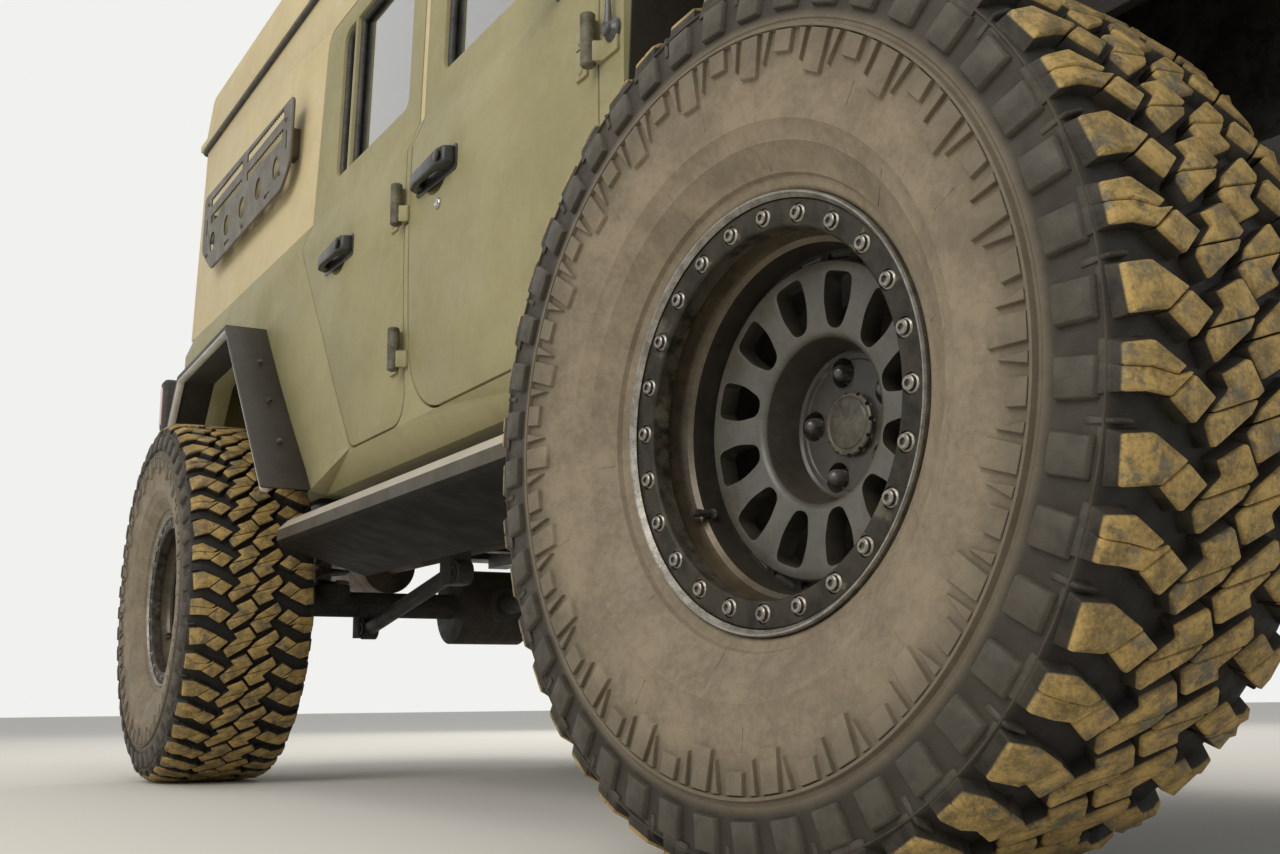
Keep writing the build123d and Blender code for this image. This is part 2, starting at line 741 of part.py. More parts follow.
# Body tub
arch = [
    (mid_x - 770.0, rocker_bottom - 40, 1),
    (mid_x - 770.0, rocker_bottom + 8, 1),
    (mid_x - 1205.0, 1240.0, 60),
    (mid_x - 1790.0, 1215.0, 60),
    (mid_x - 1985.0, 1000.0, 30),
    (mid_x - 2000.0, rocker_bottom - 40, 1),
]
quarter_front = [
    (mid_x - 452.0 - seam_gap, door_bottom - seam_gap, 50),
    (mid_x - 660.0 - seam_gap, 1110.0, 300),
    (door_rear_x - seam_gap, 1400.0, 90),
]
with BuildPart() as body_tub:
    quarter = outline([
        *quarter_front,
        (door_rear_x - seam_gap, rail_z, 1),
        (tail_x, rail_z, 1),
        (tail_x, cargo_floor_z - 20, 1),
        (arch[-1][0], cargo_floor_z - 20, 1),
        *reversed(arch[1:-1]),
        (mid_x - 770.0, rocker_bottom, 1),
        (cowl_front_x, rocker_bottom, 1),
        (cowl_front_x, rail_z, 1),
        (front_seam_x + seam_gap / 2, rail_z, 1),
        (front_seam_x + seam_gap / 2, door_bottom - seam_gap, 40),
        (pillar_x + pillar_width / 2, door_bottom - seam_gap, 160 + seam_gap),
        (pillar_x + pillar_width / 2, rail_z, 1),
        (pillar_x - pillar_width / 2, rail_z, 1),
        (pillar_x - pillar_width / 2, door_bottom - seam_gap, 76),
    ])
    add(side_wall(quarter, panel_bulk))
    inner_half = sill_half - panel
    add(block((cargo_front_x, cowl_front_x), (-inner_half, 0), (floor_z, floor_z + floor_thickness)))
    add(block((cargo_front_x - riser_thickness, cargo_front_x), (-inner_half, 0),
              (floor_z, cargo_floor_z + floor_thickness)))
    add(block((cowl_front_x - 40, cowl_front_x), (-inner_half - 5, 0), (floor_z, rail_z)))
    pillar_outer = rail_half - panel - seam_gap
    add(block((screen_foot_x - screen_depth - 10, cowl_front_x), (-pillar_outer, 0), (rail_z - 22, rail_z)))
    add(block((tail_x, tail_x + panel), (-inner_half - 5, -gate_half - seam_gap), (cargo_floor_z, rail_z)))
    add(block((pillar_x - 50, pillar_x + 50), (-pillar_outer, -pillar_outer + 45), (floor_z, rail_z)))
    add(block((pillar_x - pillar_width / 2, pillar_x + pillar_width / 2), (-inner_half - 5, -pillar_outer + 5),
              (floor_z, rail_z)))
    for hinge_x, reach in ((front_seam_x, leaf_length), (pillar_x - pillar_width / 2 - seam_gap / 2, 25.0)):
        for z in hinge_heights:
            add(block((hinge_x, hinge_x + reach), (-hinge_half - 8, -inner_half - 30), (z - hinge_length / 2, z - 6)))
            with BuildSketch(Plane.XY.offset(z - hinge_length / 2)):
                with Locations((hinge_x, -hinge_half)):
                    Circle(hinge_radius)
            extrude(amount=hinge_length / 2 - seat_gap / 2)
    mirror(about=Plane.XZ)
    for z in gate_hinge_heights:
        add(block((gate_hinge_x - gate_leaf, tail_x + 5), (gate_hinge_y - 44, gate_hinge_y - 4),
                  (z - gate_hinge_length, z - 6)))
        with BuildSketch(Plane.XY.offset(z - seat_gap / 2)):
            with Locations((gate_hinge_x, gate_hinge_y)):
                Circle(gate_hinge_radius)
        extrude(amount=-gate_hinge_length)
    add(lid_barrels(hood_rear_x, hood_barrel_y, hood_rear_z, (0, 2), seam_gap), mode=Mode.SUBTRACT)
    add(lid_barrels(hood_rear_x, hood_barrel_y, hood_rear_z, (1,), 0))
save(body_tub.part, "body_tub")

# Load bay: the raised floor behind the seats, with a box over each rear wheel
bay_front_x = cargo_front_x - riser_thickness - seat_gap
bay_rear_x = tail_x + panel + seat_gap
bay_half = inner_half - seat_gap
arch_rear_x = arch[-1][0]
with BuildPart() as load_bay:
    floor_height = (cargo_floor_z, cargo_floor_z + floor_thickness)
    wall_height = (cargo_floor_z, wheelhouse_top)
    wall = wheelhouse_wall
    add(block((bay_rear_x, bay_front_x), (-wheelhouse_half, 0), floor_height))
    add(block((bay_rear_x, arch_rear_x), (-bay_half, -wheelhouse_half), floor_height))
    add(block((arch_rear_x - wall, bay_front_x), (-wheelhouse_half, wall - wheelhouse_half), wall_height))
    add(block((arch_rear_x - wall, bay_front_x), (-bay_half, -wheelhouse_half),
              (wheelhouse_top - wall, wheelhouse_top)))
    for x in (bay_front_x - wall, arch_rear_x - wall):
        add(block((x, x + wall), (-bay_half, -wheelhouse_half), wall_height))
    mirror(about=Plane.XZ)
save(load_bay.part, "load_bay")

# Doors
screen_lean = (screen_foot_x - screen_top_x) / (door_top - rail_z)


def screen_rear_x(z, offset=0.0):
    """X of the windscreen frame's rear face at a height, moved rearwards by offset."""
    return screen_foot_x - screen_depth - (z - rail_z) * screen_lean - offset


front_door_rear = pillar_x + pillar_width / 2 + seam_gap
rear_door_front = pillar_x - pillar_width / 2 - seam_gap
front_door_outline = [
    (front_seam_x - seam_gap / 2, door_bottom, 40),
    (front_seam_x - seam_gap / 2, rail_z - seam_gap, 12),
    (screen_rear_x(rail_z, seam_gap) + 2, rail_z - seam_gap, 1),
    (screen_rear_x(door_top, seam_gap), door_top, 40),
    (front_door_rear, door_top, 20),
    (front_door_rear, door_bottom, 160),
]
rear_door_outline = [
    (rear_door_front, door_bottom, 70),
    (mid_x - 452.0, door_bottom, 50),
    (mid_x - 660.0, 1110.0, 300),
    (door_rear_x, 1400.0, 90),
    (door_rear_x + 34, door_top, 50),
    (rear_door_front, door_top, 20),
]
front_windows = [[
    (mid_x + 28.0, window_sill, 30),
    (screen_rear_x(window_sill, 80), window_sill, 30),
    (screen_rear_x(window_head, 80), window_head, 40),
    (mid_x + 28.0, window_head, 30),
]]
rear_windows = [
    [(mid_x - 180.0, window_sill, 30), (mid_x - 180.0, window_head, 40),
     (mid_x - 600.0, window_head, 4), (mid_x - 600.0, window_sill, 4)],
    [(mid_x - 618.0, window_sill, 4), (mid_x - 618.0, window_head, 4),
     (mid_x - 705.0, window_head, 40), (mid_x - 705.0, window_sill, 30)],
]
pane_outer = body_solid(24)
pane_inner = body_solid(24 + glass_thickness)
doors = [
    ("front", front_door_outline, front_windows, front_seam_x, mid_x + 85.0, True),
    ("rear", rear_door_outline, rear_windows, rear_door_front + seam_gap / 2, mid_x - 555.0, False),
]
for end, edge, windows, hinge_x, handle_x, has_mirror in doors:
    with BuildPart() as door:
        with BuildSketch(Plane.XZ):
            add(outline(edge))
            for window in windows:
                add(outline(window), mode=Mode.SUBTRACT)
        extrude(amount=flare_half)
        add(body_bulk, mode=Mode.INTERSECT)
        add(panel_bulk, mode=Mode.SUBTRACT)
        for z in hinge_heights:
            add(block((hinge_x - leaf_length, hinge_x - 4), (-hinge_half - 8, -sill_half + 5),
                      (z + 6, z + hinge_length / 2)))
            with BuildSketch(Plane.XY.offset(z + seat_gap / 2)):
                with Locations((hinge_x, -hinge_half)):
                    Circle(hinge_radius)
            extrude(amount=hinge_length / 2 - seat_gap / 2)
        half = handle_length / 2
        root, grip = -sill_half + 5, -sill_half - handle_proud
        with BuildSketch(Plane.XY.offset(handle_z - handle_height / 2)):
            with BuildLine():
                Polyline(
                    (handle_x - half, root),
                    (handle_x - half, grip + 26),
                    (handle_x - half + 16, grip + 8),
                    (handle_x - half / 2, grip),
                    (handle_x + half - 30, grip),
                    (handle_x + half, grip + 14),
                    (handle_x + half, root),
                    (handle_x + half - handle_foot, root),
                    (handle_x + half - handle_foot - 8, grip + handle_grip),
                    (handle_x - half + handle_foot + 8, grip + handle_grip),
                    (handle_x - half + handle_foot, root),
                    close=True,
                )
            make_face()
        extrude(amount=handle_height)
        if has_mirror:
            add(block((mirror_x - 25, mirror_x + 25), (-sill_half - 100, -rail_half + 10), (1440, 1475)))
            for dx, scale in ((-mirror_depth / 2, 1), (mirror_depth / 2, mirror_taper)):
                with BuildSketch(Plane.YZ.offset(mirror_x + 10 + dx)):
                    with Locations((-sill_half - 40 - mirror_width / 2, mirror_z)):
                        RectangleRounded(scale * mirror_width, scale * mirror_height, scale * mirror_width / 4)
            loft()
    save(door.part, "door_" + end + "_right")
    save(mirror(door.part, about=Plane.XZ), "door_" + end + "_left")
    with BuildPart() as pane:
        with BuildSketch(Plane.XZ):
            for window in windows:
                add(outline(window))
        extrude(amount=flare_half)
        add(pane_outer, mode=Mode.INTERSECT)
        add(pane_inner, mode=Mode.SUBTRACT)
    save(pane.part, "glass_" + end + "_right")
    save(mirror(pane.part, about=Plane.XZ), "glass_" + end + "_left")

# Windscreen frame and the fixed glass
screen_top_z = door_top + seam_gap


def screen_slab(low_z, high_z, half, front, rear):
    """A slab across the vehicle that leans with the windscreen, from front to rear behind its front face."""
    with BuildPart() as slab:
        with BuildSketch(Plane.XZ):
            with BuildLine():
                Polyline(
                    (screen_rear_x(low_z) + screen_depth - front, low_z),
                    (screen_rear_x(high_z) + screen_depth - front, high_z),
                    (screen_rear_x(high_z) + screen_depth - rear, high_z),
                    (screen_rear_x(low_z) + screen_depth - rear, low_z),
                    close=True,
                )
            make_face()
        extrude(amount=half, both=True)
    return slab.part


screen_cut = screen_slab(window_sill, window_head, screen_half_glass, 0, screen_depth)
with BuildPart() as windscreen_frame:
    add(screen_slab(rail_z, screen_top_z, sill_half, 0, screen_depth))
    add(screen_cut, mode=Mode.SUBTRACT)
    add(body_bulk, mode=Mode.INTERSECT)
save(windscreen_frame.part, "windscreen_frame")

top_rear_x = tail_x - 50.0
rear_glass_half = 600.0
rear_glass_z = (1500.0, 2110.0)
with BuildPart() as fixed_glass:
    add(screen_slab(window_sill, window_head, screen_half_glass, 24, 24 + glass_thickness))
    add(block((top_rear_x + 16, top_rear_x + 16 + glass_thickness), (-rear_glass_half, rear_glass_half),
              rear_glass_z))
save(fixed_glass.part, "fixed_glass")

# Hard top: side walls and door headers in one shell, with the windscreen header, rear wall and roof bows
header_front_x = screen_rear_x(screen_top_z) + screen_depth
with BuildPart() as hardtop:
    sides = outline([
        (top_rear_x, rail_z, 1),
        (door_rear_x - seam_gap, rail_z, 1),
        (door_rear_x - seam_gap + 34, door_top + seam_gap, 56),
        (pillar_x - pillar_width / 2, door_top + seam_gap, 26),
        (pillar_x - pillar_width / 2, rail_z, 1),
        (pillar_x + pillar_width / 2, rail_z, 1),
        (pillar_x + pillar_width / 2, door_top + seam_gap, 26),
        (header_front_x, screen_top_z, 1),
        (header_front_x - 14, screen_top_z + 36, 10),
        (cap_front_x + 30, gutter_z, 40),
        (top_rear_x, gutter_z, 12),
    ])
    add(side_wall(sides, top_bulk))
    inside = gutter_half - 8
    with BuildSketch(Plane.XZ):
        with BuildLine():
            Polyline(
                (header_front_x, screen_top_z),
                (header_front_x - 14, screen_top_z + 36),
                (cap_front_x + 30, gutter_z - 2),
                (cap_front_x - 20, gutter_z - 2),
                (cap_front_x - 20, gutter_z - 40),
                (header_front_x - 70, screen_top_z),
                close=True,
            )
        make_face()
    extrude(amount=inside)
    for x in (pillar_x, mid_x - 900):
        add(block((x - 25, x + 25), (-inside, 0), (gutter_z - 40, gutter_z - 2)))
    add(block((top_rear_x, top_rear_x + 40), (-inside, 0), (rear_glass_z[1], gutter_z - 2)))
    add(block((top_rear_x, top_rear_x + 40), (-inside, -rear_glass_half), (rail_z, gutter_z - 2)))
    add(block((top_rear_x, top_rear_x + 40), (-inside, 0), (rail_z + 8, rear_glass_z[0])))
    mirror(about=Plane.XZ)
    add(lid_barrels(cap_front_x, cap_barrel_y, gutter_z, (0, 2), seam_gap), mode=Mode.SUBTRACT)
    add(lid_barrels(cap_front_x, cap_barrel_y, gutter_z, (1,), 0))
save(hardtop.part, "hardtop")

# Lifting roof cap: a shell over the hard top, hinged along its front edge
cap_bottom = gutter_z + seat_gap


def roof_cap(inset, low):
    """The cap's outer form, moved inwards by inset, from height low."""
    with BuildPart() as form:
        with BuildSketch(Plane.XZ):
            with BuildLine():
                Polyline(
                    (cap_front_x - inset, low),
                    (cap_front_x - inset, gutter_z + 30),
                    (cap_front_x - 190, cap_top_z - 95 - inset),
                    (cap_front_x - 560, cap_top_z - 28 - inset),
                    (cap_front_x - 1250, cap_top_z - inset),
                    (cap_rear_x + 110, cap_top_z - 14 - inset),
                    (cap_rear_x + 26 + inset, cap_top_z - 60 - inset),
                    (cap_rear_x + inset, gutter_z + 60),
                    (cap_rear_x + inset, low),
                    close=True,
                )
            make_face()
        extrude(amount=cap_half, both=True)
        with BuildSketch(Plane.YZ.offset(cap_rear_x - 10), mode=Mode.PRIVATE) as cross:
            with BuildLine():
                Line((cap_half - inset, low), (cap_half - inset, gutter_z + 24))
                Line((cap_half - inset, gutter_z + 24), (cap_half - 18 - inset, gutter_z + 40))
                Line((cap_half - 18 - inset, gutter_z + 40), (cap_top_half - inset, cap_top_z - 46 - inset))
                Line((cap_top_half - inset, cap_top_z - 46 - inset), (cap_top_half - 44 - inset, cap_top_z - inset))
                mirror(about=Plane.YZ)
                Line((-cap_top_half + 44 + inset, cap_top_z - inset), (cap_top_half - 44 - inset, cap_top_z - inset))
                Line((inset - cap_half, low), (cap_half - inset, low))
            make_face()
        extrude(cross.sketch, amount=cap_front_x - cap_rear_x + 20, mode=Mode.INTERSECT)
    return form.part


cap_inner = roof_cap(cap_wall, cap_bottom - 10)
with BuildPart() as pop_roof:
    add(roof_cap(0, cap_bottom))
    add(cap_inner, mode=Mode.SUBTRACT)
    add(lid_barrels(cap_front_x, cap_barrel_y, gutter_z, (1,), seam_gap), mode=Mode.SUBTRACT)
    add(lid_barrels(cap_front_x, cap_barrel_y, gutter_z, (0, 2), 0))
save(pop_roof.part, "pop_roof")

# Hood: a tapering lid with turned-down sides, hinged at the cowl on two pairs of barrels
hood_lip = fender_top + seat_gap


def hood_form(inset, low):
    with BuildPart() as form:
        with BuildSketch(Plane.XZ):
            with BuildLine():
                Polyline((hood_rear_x, low), (hood_front_x - inset, low),
                         (hood_front_x - inset, hood_front_z - 20 - inset),
                         (hood_front_x - 24 - inset, hood_front_z - inset),
                         (hood_rear_x, hood_rear_z - inset), close=True)
            make_face()
        extrude(amount=hood_rear_half, both=True)
        with BuildSketch(Plane.XY.offset(low), mode=Mode.PRIVATE) as plan:
            with BuildLine():
                Polyline((hood_rear_x - 1, -hood_rear_half + inset), (hood_front_x + 1, -hood_front_half + inset),
                         (hood_front_x + 1, hood_front_half - inset), (hood_rear_x - 1, hood_rear_half - inset),
                         close=True)
            make_face()
        extrude(plan.sketch, amount=hood_rear_z, mode=Mode.INTERSECT)
        if inset == 0:
            lengthwise = form.edges().filter_by(lambda e: abs(e.center().Y) > inner_fender and e.length > hood_front_half)
            fillet(lengthwise.group_by(Axis.Z)[-1], hood_edge_radius)
    return form.part


hood_inner = hood_form(hood_wall, hood_lip - 10)
with BuildPart() as hood:
    add(hood_form(0, hood_lip))
    add(hood_inner, mode=Mode.SUBTRACT)
    add(lid_barrels(hood_rear_x, hood_barrel_y, hood_rear_z, (1,), seam_gap), mode=Mode.SUBTRACT)
    add(lid_barrels(hood_rear_x, hood_barrel_y, hood_rear_z, (0, 2), 0))
save(hood.part, "hood")

# Front fenders: flat tops with sloping ends on inner walls between cowl and grille
grille_x = mid_x + front_reach - 140.0
with BuildPart() as fenders:
    with BuildSketch(Plane.XZ.offset(inner_fender)):
        with BuildLine():
            top = [(cowl_front_x + 22, 1165), (cowl_front_x + 115, fender_top), (grille_x - 190, fender_top),
                   (grille_x - 5, 1180)]
            under = [(x, z - fender_thickness) for x, z in reversed(top)]
            Polyline(*top, *under, close=True)
        make_face()
    extrude(amount=fender_half - inner_fender)
    with BuildSketch(Plane.XZ.offset(fender_half - fender_lip_thickness)):
        with BuildLine():
            Polyline(*top, *[(x, z - fender_lip) for x, z in reversed(top)], close=True)
        make_face()
    extrude(amount=fender_lip_thickness)
    with BuildSketch(Plane.XY.offset(hood_front_z), mode=Mode.PRIVATE) as corner:
        with BuildLine():
            Polyline((cowl_front_x, -sill_half - seam_gap), (cowl_front_x + fender_corner, -fender_half),
                     (cowl_front_x + fender_corner, -fender_half - 1), (cowl_front_x, -fender_half - 1), close=True)
        make_face()
    extrude(corner.sketch, amount=-hood_front_z, mode=Mode.SUBTRACT)
    add(block((cowl_front_x, grille_x), (-inner_fender - 20, -inner_fender), (985, fender_top)))
save(both_sides(fenders.part), "front_fenders")

# Grille panel with round lamp holes and two rows of level slots
lamp_radius = 88.0
lamp_y = 440.0
lamp_z = 1245.0
with BuildPart() as grille:
    with BuildSketch(Plane.YZ.offset(grille_x)):
        with Locations((0, (grille_bottom + hood_front_z) / 2 - 8)):
            RectangleRounded(2 * grille_half, hood_front_z - grille_bottom - 16, 40)
        with Locations((-lamp_y, lamp_z), (lamp_y, lamp_z)):
            Circle(lamp_radius, mode=Mode.SUBTRACT)
        with GridLocations(0, 46, 1, 6):
            with Locations((0, 1180)):
                SlotOverall(560, 24, mode=Mode.SUBTRACT)
    extrude(amount=grille_thickness)
save(grille.part, "grille")

# Lamps: two headlamps in the grille, two tail lamps on the rear corners
tail_lamp_z = (1140.0, 1324.0)
with BuildPart() as lamps:
    with BuildSketch(Plane.YZ.offset(grille_x + 4)):
        with Locations((-lamp_y, lamp_z), (lamp_y, lamp_z)):
            Circle(lamp_radius)
    extrude(amount=grille_thickness + 6)
    for side in (-1, 1):
        add(block((tail_x - 70, tail_x), sorted((side * 690, side * 862)), tail_lamp_z))
save(lamps.part, "lamps")

# Front bumper with two recovery eyes
with BuildPart() as front_bumper:
    bumper_back = rail_wall_front_x
    with BuildSketch(Plane.XY.offset(bumper_bottom)):
        with BuildLine():
            front_x = mid_x + front_reach - 2 * eye_outer_radius
            Polyline((bumper_back, -bumper_half), (bumper_back + 30, -bumper_half), (front_x, -bumper_half + 150),
                     (front_x, bumper_half - 150), (bumper_back + 30, bumper_half), (bumper_back, bumper_half),
                     close=True)
        make_face()
    extrude(amount=bumper_top - bumper_bottom)
    eye_z = bumper_bottom + 2 * eye_outer_radius
    eye_x = mid_x + front_reach - eye_outer_radius
    for y in (-330, 330):
        with BuildSketch(Plane.XZ.offset(-y - eye_thickness / 2)):
            with Locations((eye_x - eye_outer_radius, eye_z)):
                Rectangle(2 * eye_outer_radius, 2 * eye_outer_radius)
            with Locations((eye_x, eye_z)):
                Circle(eye_outer_radius)
                Circle(eye_radius, mode=Mode.SUBTRACT)
        extrude(amount=eye_thickness)
save(front_bumper.part, "front_bumper")

# Rear bumper with a receiver tube
with BuildPart() as rear_bumper:
    bumper_x = (tail_x - seam_gap - rear_bumper_depth, tail_x - seam_gap)
    add(block(bumper_x, (-bumper_rear_half, bumper_rear_half), (rear_bumper_bottom, rear_bumper_top)))
    fillet(rear_bumper.edges().filter_by(Axis.Z).group_by(Axis.X)[0], 40)
    half = receiver_outer / 2
    receiver_z = rear_bumper_bottom - half
    add(block(bumper_x, (-half, half), (rear_bumper_bottom - receiver_outer, rear_bumper_bottom)))
    hole = receiver_inner / 2
    with BuildSketch(Plane.YZ.offset(bumper_x[0])):
        with Locations((0, receiver_z)):
            Rectangle(receiver_inner, receiver_inner)
    extrude(amount=rear_bumper_depth, mode=Mode.SUBTRACT)
save(rear_bumper.part, "rear_bumper")

# Flat rear flares, straight-edged round the arch
with BuildPart() as flare:
    with BuildSketch(Plane.XZ.offset(wheelhouse_half)):
        with BuildLine():
            inner_edge = [(x, z) for x, z, r in arch[1:5]]
            outer_edge = [(inner_edge[0][0] + 18, inner_edge[0][1]), (inner_edge[1][0] + 10, inner_edge[1][1] + 16),
                          (inner_edge[2][0] - 6, inner_edge[2][1] + 16), (inner_edge[3][0] - 18, inner_edge[3][1])]
            Polyline(*inner_edge, *reversed(outer_edge), close=True)
        make_face()
    extrude(amount=flare_half - wheelhouse_half)
    add(body_bulk, mode=Mode.SUBTRACT)
save(both_sides(flare.part), "rear_flares")

# Tailgate with its hinges and the spare wheel's carrier
gate_x = (tail_x - gate_proud, tail_x - gate_proud + panel)
gate_z = (cargo_floor_z + floor_thickness + seam_gap, rail_z - seam_gap)
with BuildPart() as tailgate:
    add(block(gate_x, (-gate_half, gate_half), gate_z))
    with BuildSketch(Plane.YZ.offset(spare_pad_x + seat_gap)):
        with Locations((0, spare_z)):
            Circle(pad_radius - 4)
    extrude(amount=12)
    with BuildSketch(Plane.YZ.offset(spare_pad_x + seat_gap)):
        with Locations((0, spare_z - 60)):
            Rectangle(130, 200)
    extrude(amount=gate_x[0] - spare_pad_x - seat_gap + 5)
    for z in gate_hinge_heights:
        add(block((gate_hinge_x - gate_leaf, gate_x[0] + 5), (gate_hinge_y + 4, -gate_half + 130),
                  (z + 6, z + gate_hinge_length)))
        with BuildSketch(Plane.XY.offset(z + seat_gap / 2)):
            with Locations((gate_hinge_x, gate_hinge_y)):
                Circle(gate_hinge_radius)
        extrude(amount=gate_hinge_length)
save(tailgate.part, "tailgate")

# Utility panels on the quarters of the hard top
rack_half = 800.0
with BuildPart() as rack:
    with BuildSketch(Plane.XZ.offset(rack_half - 8)):
        with BuildLine():
            Polyline(
                (mid_x - 1010, 1890), (mid_x - 1030, 1700), (mid_x - 1110, 1650), (mid_x - 1930, 1640),
                (mid_x - 2060, 1730), (mid_x - 2040, 1915), close=True,
            )
        make_face()
        with GridLocations(430, 0, 2, 1):
            with Locations((mid_x - 1535, 1840)):
                SlotOverall(340, 40, mode=Mode.SUBTRACT)
        with GridLocations(190, 0, 4, 1):
            with Locations((mid_x - 1535, 1725)):
                Circle(34, mode=Mode.SUBTRACT)
    extrude(amount=8)
    for x in (mid_x - 1100, mid_x - 1950):
        with BuildSketch(Plane.XZ.offset(gutter_half)):
            with Locations((x, 1780)):
                Rectangle(50, 90)
        extrude(amount=rack_half - 8 - gutter_half + 4)
    add(body_bulk, mode=Mode.SUBTRACT)
save(both_sides(rack.part), "side_racks")

# Interior: seats, dashboard with its column, steering wheel
seat_floor = floor_z + floor_thickness
with BuildPart() as seats:
    for y in (-370, 370):
        with BuildSketch(Plane.XZ.offset(-y - 250)):
            with BuildLine():
                Polyline((mid_x - 60, seat_floor), (mid_x + 400, seat_floor), (mid_x + 430, 1130), (mid_x + 60, 1090),
                         (mid_x - 70, 1740), (mid_x - 190, 1730), (mid_x - 70, 1060), close=True)
            make_face()
        extrude(amount=500)
    with BuildSketch(Plane.XZ.offset(-560)):
        with BuildLine():
            Polyline((mid_x - 880, seat_floor), (mid_x - 480, seat_floor), (mid_x - 430, 1130), (mid_x - 760, 1090),
                     (mid_x - 860, 1620), (mid_x - 950, 1610), (mid_x - 920, 1000), close=True)
        make_face()
    extrude(amount=1120)
save(seats.part, "seats")

wheel_x = mid_x + 440.0
wheel_y = 370.0
wheel_z = 1330.0
column_tilt = 24.0
column_up = (-cos(radians(column_tilt)), 0, sin(radians(column_tilt)))
column = Plane(origin=(wheel_x, wheel_y, wheel_z), x_dir=(0, 1, 0), z_dir=column_up)
with BuildPart() as dashboard:
    with BuildSketch(Plane.XZ.offset(-rail_half + panel + 30)):
        with BuildLine():
            Polyline((mid_x + 600, 1180), (mid_x + 600, 1400), (mid_x + 650, rail_z - 22), (cowl_front_x - 40, rail_z - 22),
                     (cowl_front_x - 40, 1150), close=True)
        make_face()
    extrude(amount=2 * (rail_half - panel - 30))
    with BuildSketch(column.offset(-30 - seat_gap)):
        Circle(32)
    extrude(amount=-200)
save(dashboard.part, "dashboard")

with BuildPart() as steering_wheel:
    with BuildSketch(Plane(origin=column.origin, x_dir=column.x_dir, z_dir=column.y_dir)):
        with Locations((178, 0)):
            Circle(15)
    revolve(axis=Axis(column.origin, column.z_dir))
    with BuildSketch(column.offset(-30)):
        Circle(38)
    extrude(amount=34)
    with BuildSketch(column.offset(-10)):
        Rectangle(350, 34)
        with Locations((0, -86)):
            Rectangle(34, 170)
    extrude(amount=10)
save(steering_wheel.part, "steering_wheel")
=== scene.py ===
from math import cos, hypot, pi, radians, sin

import bpy
from mathutils import Matrix, Vector


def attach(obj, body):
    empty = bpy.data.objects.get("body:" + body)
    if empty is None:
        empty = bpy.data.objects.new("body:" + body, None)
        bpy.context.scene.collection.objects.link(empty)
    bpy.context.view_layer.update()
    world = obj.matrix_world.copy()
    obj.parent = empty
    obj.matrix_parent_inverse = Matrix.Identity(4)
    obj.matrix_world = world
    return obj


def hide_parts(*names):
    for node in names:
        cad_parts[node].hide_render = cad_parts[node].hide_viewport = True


# A lifted four-door off-road 4x4 with a camper top. Metres, +X forward, +Y to the vehicle's left, +Z up.
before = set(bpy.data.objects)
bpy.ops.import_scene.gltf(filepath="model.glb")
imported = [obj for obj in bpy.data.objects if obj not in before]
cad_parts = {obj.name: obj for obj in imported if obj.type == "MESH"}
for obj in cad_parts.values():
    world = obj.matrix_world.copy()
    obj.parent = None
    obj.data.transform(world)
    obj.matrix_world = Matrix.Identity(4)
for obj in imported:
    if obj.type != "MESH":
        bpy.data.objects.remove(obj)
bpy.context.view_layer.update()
bpy.ops.object.select_all(action="DESELECT")
scene = bpy.context.scene

# Camera
# It stands low, ahead of the right front wheel, and looks back along the vehicle's side.
camera = bpy.data.objects.new("camera", bpy.data.cameras.new("camera"))
scene.collection.objects.link(camera)
camera.location = (3.0515, -1.8536, 0.1944)
camera.rotation_euler = (radians(100.982), radians(0.685), radians(60.187))
camera.data.sensor_width = 36
camera.data.lens = 40.38
camera.data.clip_start = 0.02
camera.data.clip_end = 400
scene.camera = camera

# Light and floor
# A pale sky all round, a flat pale floor, and three large soft lamps: ahead on the right, above, and behind
# on the left.
scene.view_settings.view_transform = "Standard"
sky = bpy.data.worlds.new("sky")
scene.world = sky
sky.use_nodes = True
sky.node_tree.nodes.clear()


def plug(tree, value, socket):
    """Links a node's input to another node's output, or sets it to a value."""
    if isinstance(value, bpy.types.NodeSocket):
        tree.links.new(value, socket)
    else:
        socket.default_value = value


def fill(tree, item, **values):
    """Plugs a node's inputs by their names, written with _ for a space."""
    for name, value in values.items():
        plug(tree, value, item.inputs[name.replace("_", " ")])
    return item


def put(tree, kind, **values):
    """Adds a shader node. A name in small letters is one of its properties, any other is an input."""
    item = tree.nodes.new("ShaderNode" + kind)
    for name in [name for name in values if name.islower()]:
        setattr(item, name, values.pop(name))
    return fill(tree, item, **values)


tree = sky.node_tree
cast = put(tree, "Background", Color=(0.93, 0.96, 1.0, 1), Strength=0.46)
seen = put(tree, "Background", Color=(0.88, 0.88, 0.86, 1), Strength=1.0)
rays = put(tree, "LightPath").outputs
clear_ray = put(tree, "Math", operation="MAXIMUM")
seen_ray = put(tree, "Math", operation="MAXIMUM")
sky_mix = put(tree, "MixShader")
for value, socket in (
    (rays["Is Camera Ray"], clear_ray.inputs[0]), (rays["Is Transmission Ray"], clear_ray.inputs[1]),
    (clear_ray.outputs[0], seen_ray.inputs[0]), (rays["Is Glossy Ray"], seen_ray.inputs[1]),
    (seen_ray.outputs[0], sky_mix.inputs[0]), (cast.outputs[0], sky_mix.inputs[1]),
    (seen.outputs[0], sky_mix.inputs[2]), (sky_mix.outputs[0], put(tree, "OutputWorld").inputs[0]),
):
    plug(tree, value, socket)

